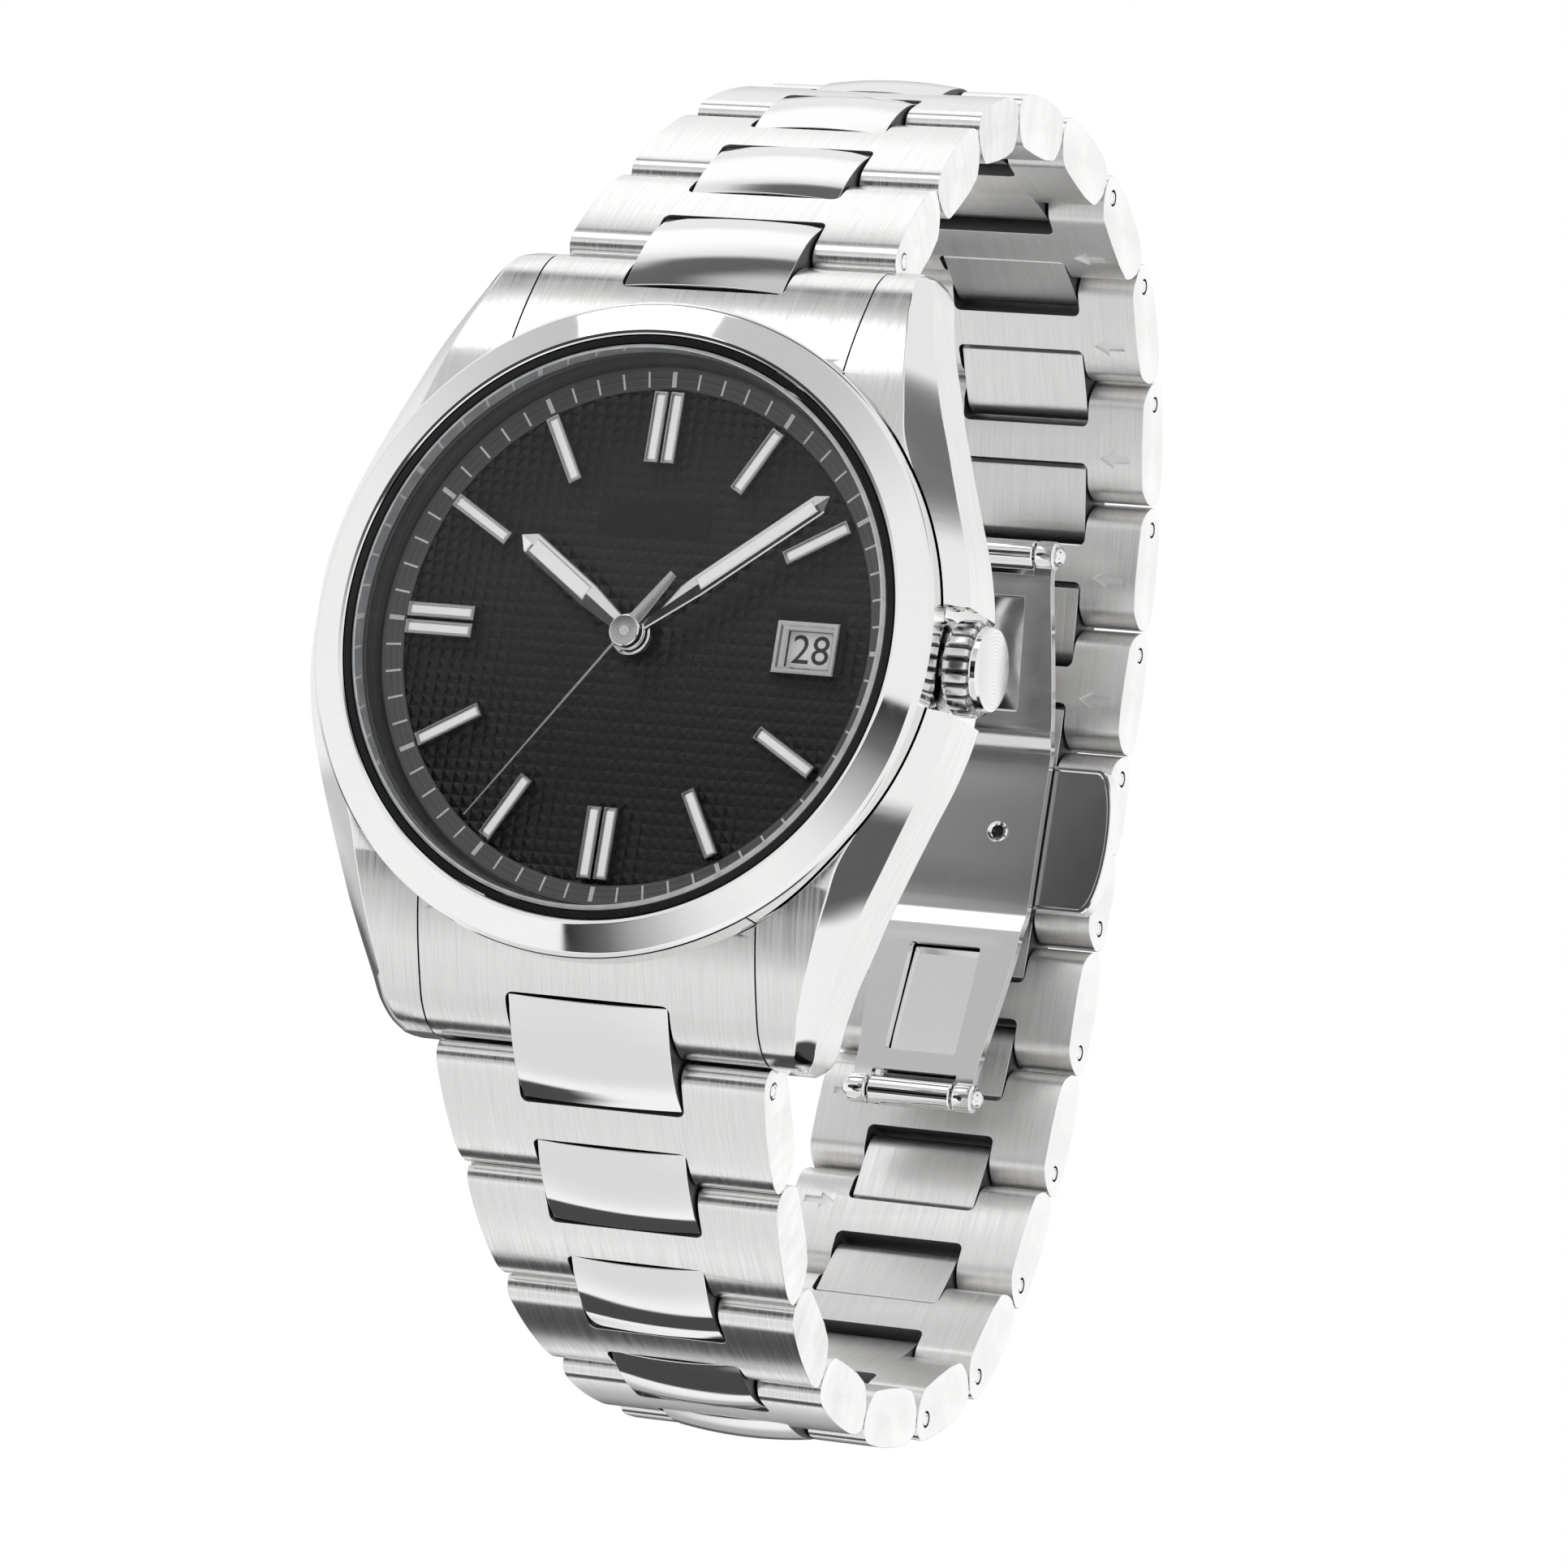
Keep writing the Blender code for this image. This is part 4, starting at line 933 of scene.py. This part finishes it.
def build_clasp():
    half = ((53.1, 0.0, 4.75), (53.1, 2.5, 4.75), (53.1, 4.9, 4.75), (52.95, 5.4, 4.75), (52.6, 6.1, 4.75),
        (52.45, 6.7, 4.74), (52.35, 7.4, 4.7), (51.6, 11.0, 4.4), (50.75, 14.8, 4.05), (50.5, 15.9, 4.0),
        (50.45, 16.7, 4.0))
    path = spline([(y, -z, w) for y, z, w in half[:0:-1]] + list(half), 3)
    plate = strip("clasp_plate", path, FRAME_T, (CLASP_STEEL_PAINTED_SHADE, CLASP_SATIN_PAINTED_SHADE))
    # the flat faces of the centre plate take slot 1, the dark satin steel: partly satin finish, partly
    # painted shade
    for poly in plate.data.polygons:
        poly.material_index = int(abs(poly.center.z) < 5.0 * MM and abs(poly.normal.y) > 0.9)
    for side, _ in SIDES:
        cut(plate, rectangle(-2.8, 2.8, *sorted((side * 15.85, side * 20))), 45, 60)
        cut(plate, rounded_rectangle(-2.35, 2.35, *sorted((side * 7.5, side * 14.5)), 0.15), 45, 60)
    boolean(plate, lathe("hole", ((0, 50), (0.4, 50), (0.4, 56), (0, 56)), (MIRROR,), 32, (2.0, 0)))
    dress(plate, "clasp_frame", replaces=("clasp_frame",), angle=30, edge=0.05)
    rivet = ((0.38, 53.5), (0.38, 52.99), (0.46, 52.90), (0.60, 52.91), (0.68, 52.99), (0.68, 53.4))
    dress(lathe("clasp_rivet", rivet, (MIRROR,), 48, (2.0, 0)), "clasp_frame", angle=40)
    barrels = Batch()
    y, z = HINGE
    for side, tag in SIDES:
        for sign in (1, -1):
            barrels.loft([[at(sign * x, y + v, side * z + u) for u, v in circle(r, 48)] for r, x in ((0.80,
                2.88), (0.90, 2.96), (0.92, 3.05), (0.92, 3.95), (0.90, 4.05), (0.80, 4.12))])
        ends = ((0, -4.68), (0.2, -4.66), (0.42, -4.55), (0.58, -4.38), (0.62, -4.2), (0.5, -4.12),
            (0.3, -4.0))
        pin = lathe_x("hinge_pin_" + tag, ends + tuple((r, -x) for r, x in reversed(ends)), y, side * z,
            (MIRROR,), 40)
        dress(pin, "clasp_frame", replaces=("clasp_pin_" + tag,), angle=40)
        build_arm(side, tag)
    dress(barrels.piece("clasp_barrels", (MIRROR,)), "clasp_frame", angle=40, weighted=False)
    for sign, tag in ((1, "right"), (-1, "left")):
        build_pusher(sign, tag)


def build_arm(side, tag):
    body = "clasp_arm_" + tag
    blade = ((54.3, 2.2, 2.45), (54.15, 3.6, 2.45), (53.95, 4.9, 2.45), (53.85, 5.3, 3.6), (53.3, 7.2, 3.6),
        (52.6, 10.2, 3.6), (51.85, 13.5, 3.6), (51.6, 15.0, 3.6), (51.5, 15.5, 2.65), (51.3, 16.7, 2.65))
    dress(strip("arm_blade_" + tag, blade, 0.6, (MIRROR,), side), body, (body,), angle=30,
        edge=0.05)
    for name, r, half, (depth, height) in (("arm_barrel_", 0.9, 2.72, HINGE),
            ("arm_eye_", 0.6, 2.5, ARM_EYE)):
        ob = lathe_x(name + tag, ((0, -half), (r - 0.08, -half), (r, -half + 0.08), (r, half - 0.08),
            (r - 0.08, half), (0, half)), depth, side * height, (MIRROR,), 48)
        dress(ob, body, angle=40)


def build_pusher(sign, tag):
    def outline(inset):
        arc = [(sign * (7.9 - inset + 1.15 * math.cos(math.pi * t / 32)),
            (4.55 - inset) * math.sin(math.pi * t / 32)) for t in range(-16, 17)]
        return [(sign * (4.15 + inset), -4.55 + inset)] + arc + [(sign * (4.15 + inset), 4.55 - inset)]

    levels = ((0.28, 53.98), (0.20, 53.9), (0.06, 53.9), (0.0, 53.97), (0.0, 55.07), (0.08, 55.15))
    rings = [[at(x, depth, z) for x, z in outline(inset)] for inset, depth in levels]
    ob = loft("push_button_" + tag, rings, (MIRROR, PUSHER_PAINTED_SHADE))
    # the flat faces of the buttons take slot 1, the dark steel: painted shade
    for poly in ob.data.polygons:
        poly.material_index = int(abs(poly.normal.y) > 0.98)
    dress(ob, "pusher_" + tag, replaces=("pusher_" + tag,), angle=20)


# ---- hidden and carried-over CAD nodes ----
def finish_cad_nodes():
    looks = {PLATE_STEEL: "movement_plate", HOLDER: "movement_holder", TURNED: "rotor",
        RUBBER: "case_back_gasket", GILT: "mainspring_barrel balance_wheel",
        MIRROR: "rotor_axle crown_tube winding_stem spring_bar_12 spring_bar_6 arm_pin_12 arm_pin_6"}
    for look, nodes in looks.items():
        for node in nodes.split():
            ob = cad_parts[node]
            for s in ob.material_slots:
                s.material = look
            if not ob.material_slots:
                ob.data.materials.append(look)


# ---- studio ----
STUDIO = bpy.data.worlds.new("studio")
STUDIO.use_nodes = True
DIRECTION = add(STUDIO, "ShaderNodeTexCoord").outputs["Generated"]


def maths(operation, *values):
    node = add(STUDIO, "ShaderNodeMath", operation=operation)
    for socket, v in zip(node.inputs, values):
        if isinstance(v, (int, float)):
            socket.default_value = v
        else:
            join(v, socket)
    return node.outputs[0]


def times(a, b):
    return maths("MULTIPLY", a, b)


def toward(*axis):
    """Cosine between the direction looked up in the surround and an axis."""
    node = add(STUDIO, "ShaderNodeVectorMath", operation="DOT_PRODUCT")
    join(DIRECTION, node.inputs[0])
    node.inputs[1].default_value = axis
    return node.outputs["Value"]


def smooth(value, start, end, low=1.0, high=0.0):
    return map_range(STUDIO, value, start, end, low, high, "SMOOTHSTEP")


def darkened(mask, darkness):
    return maths("SUBTRACT", 1.0, times(mask, darkness))


def dark_strip(tilt, half_angle, soft, darkness, centre_x=-0.4, reach=0.6):
    """Factor that darkens a band lying along X at an elevation tilt (0 behind, 90 overhead, -90 below)."""
    a = math.radians(tilt)
    forward = toward(0.0, math.cos(a), math.sin(a))
    across = maths("DIVIDE", toward(0.0, -math.sin(a), math.cos(a)), maths("MAXIMUM", forward, 0.02))
    band = smooth(maths("ABSOLUTE", across), math.tan(math.radians(half_angle)),
        math.tan(math.radians(half_angle + soft)))
    side = maths("ABSOLUTE", maths("SUBTRACT", toward(1.0, 0.0, 0.0), centre_x))
    end, ahead = smooth(side, reach, reach + 0.15), smooth(forward, 0.02, 0.1, 0.0, 1.0)
    return darkened(times(times(band, end), ahead), darkness)


def dark_spot(direction, inner, outer, darkness):
    """Factor for a round patch, full within inner and gone at outer degrees; negative darkness brightens."""
    near = toward(*Vector(direction).normalized())
    return darkened(smooth(near, math.cos(math.radians(outer)), math.cos(math.radians(inner)), 0.0, 1.0),
        darkness)


def build_world():
    """Soft white surround with dark gaps, seen in reflections; the plain backdrop is seen directly."""
    bpy.context.scene.world = STUDIO
    tree = STUDIO.node_tree
    # one round panel that fades to black at its rim, cut off toward the lower right
    angle = maths("ARCCOSINE", maths("MINIMUM", toward(0.0, -0.943, -0.333), 1.0))
    turn = maths("DIVIDE", angle, math.radians(26.5))
    fall = add(STUDIO, "ShaderNodeValToRGB")
    elements = fall.color_ramp.elements
    for i, (position, grey) in enumerate(((0.0, 1.0), (0.28, 0.93), (0.42, 0.80), (0.53, 0.64), (0.68, 0.42),
            (0.81, 0.16), (1.0, 0.02))):
        e = elements[i] if i < 2 else elements.new(position)
        e.position, e.color = position, (grey, grey, grey, 1)
    join(turn, fall.inputs["Fac"])
    inside = times(smooth(turn, 1.0, 1.03), smooth(toward(0.61, 0.265, -0.75), 0.05, 0.13))

    level = maths("ADD", 0.97, times(toward(-0.2, -0.3, -0.9), 0.07))
    for spot in (((-0.35, -0.6, 0.72), 12, 40, 0.34), ((-0.5, 0.85, 0.0), 14, 42, 0.35),
            ((0.775, -0.47, -0.42), 4, 10, 0.88), ((0.69, -0.27, 0.67), 4, 16, 0.8),
            ((-0.4, -0.35, -0.83), 8, 30, 0.22), ((-0.4, 0.14, 0.9), 8, 20, -0.25),
            ((0.4, 0.9, 0.16), 8, 25, -0.15), ((0.3, 0.42, -0.86), 20, 29, 0.93)):
        level = times(level, dark_spot(*spot))
    for band in ((104, 2, 4, 0.80), (2, 15, 6, 0.80, -0.4, 0.42), (-64, 13, 3, 0.93), (-25, 5, 10, 0.35)):
        level = times(level, dark_strip(*band))
    kept = times(level, maths("SUBTRACT", 1.0, inside))
    lit = maths("ADD", kept, times(inside, fall.outputs["Color"]))
    lit = times(lit, dark_spot((-0.39, -0.918, -0.06), 12.5, 15, 0.95))

    background = tree.nodes["Background"]
    join(lit, background.inputs["Color"])
    background.inputs["Strength"].default_value = 1.0
    backdrop = add(STUDIO, "ShaderNodeBackground", Color=(1, 1, 1, 1))
    mix = add(STUDIO, "ShaderNodeMixShader")
    join(add(STUDIO, "ShaderNodeLightPath").outputs["Is Camera Ray"], mix.inputs["Fac"])
    join(background.outputs[0], mix.inputs[1])
    join(backdrop.outputs[0], mix.inputs[2])
    join(mix.outputs[0], tree.nodes["World Output"].inputs["Surface"])
    bpy.context.scene.view_settings.view_transform = "Standard"


def build_studio():
    build_world()
    data = bpy.data.lights.new("key_soft", "AREA")
    data.shape, data.size, data.energy = "DISK", 0.25, 0.2
    key, place = put("key_soft", data), Vector((-0.30, -0.35, 0.55))
    key.location = place
    key.rotation_euler = (Vector((0, 0.02, 0)) - place).to_track_quat("-Z", "Y").to_euler()
    key.visible_camera = False
    size, height = 1.2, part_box("link_6_04")[0].z - 0.064
    floor = mesh_object("pale_floor", [(x, y, height) for x, y in rectangle(-size, size, -size, size)],
        [(0, 1, 2, 3)], (painted("floor_paint", (0.84,) * 3, (0.88,) * 3, 0.6, 0.05),))
    floor.visible_glossy = False


def build_camera():
    """Long lens in front of the crown side, a little below the dial's centre."""
    data = bpy.data.cameras.new("camera")
    data.lens, data.sensor_width, data.clip_start, data.clip_end = 170.57, 36.0, 0.01, 10.0
    camera = put("camera", data)
    right = (0.91340, 0.37663, 0.15444)
    up = (-0.07815, -0.21011, 0.97455)
    back = (0.39949, -0.90222, -0.16248)
    m = Matrix((right, up, back)).transposed().to_4x4()
    m.translation = (0.173868, -0.376960, -0.074105)
    camera.matrix_world = m
    bpy.context.scene.camera = camera


build_camera()
build_case_body()
build_rounds()
build_dial()
build_hands()
build_crown()
build_bracelet()
build_clasp()
finish_cad_nodes()
build_studio()
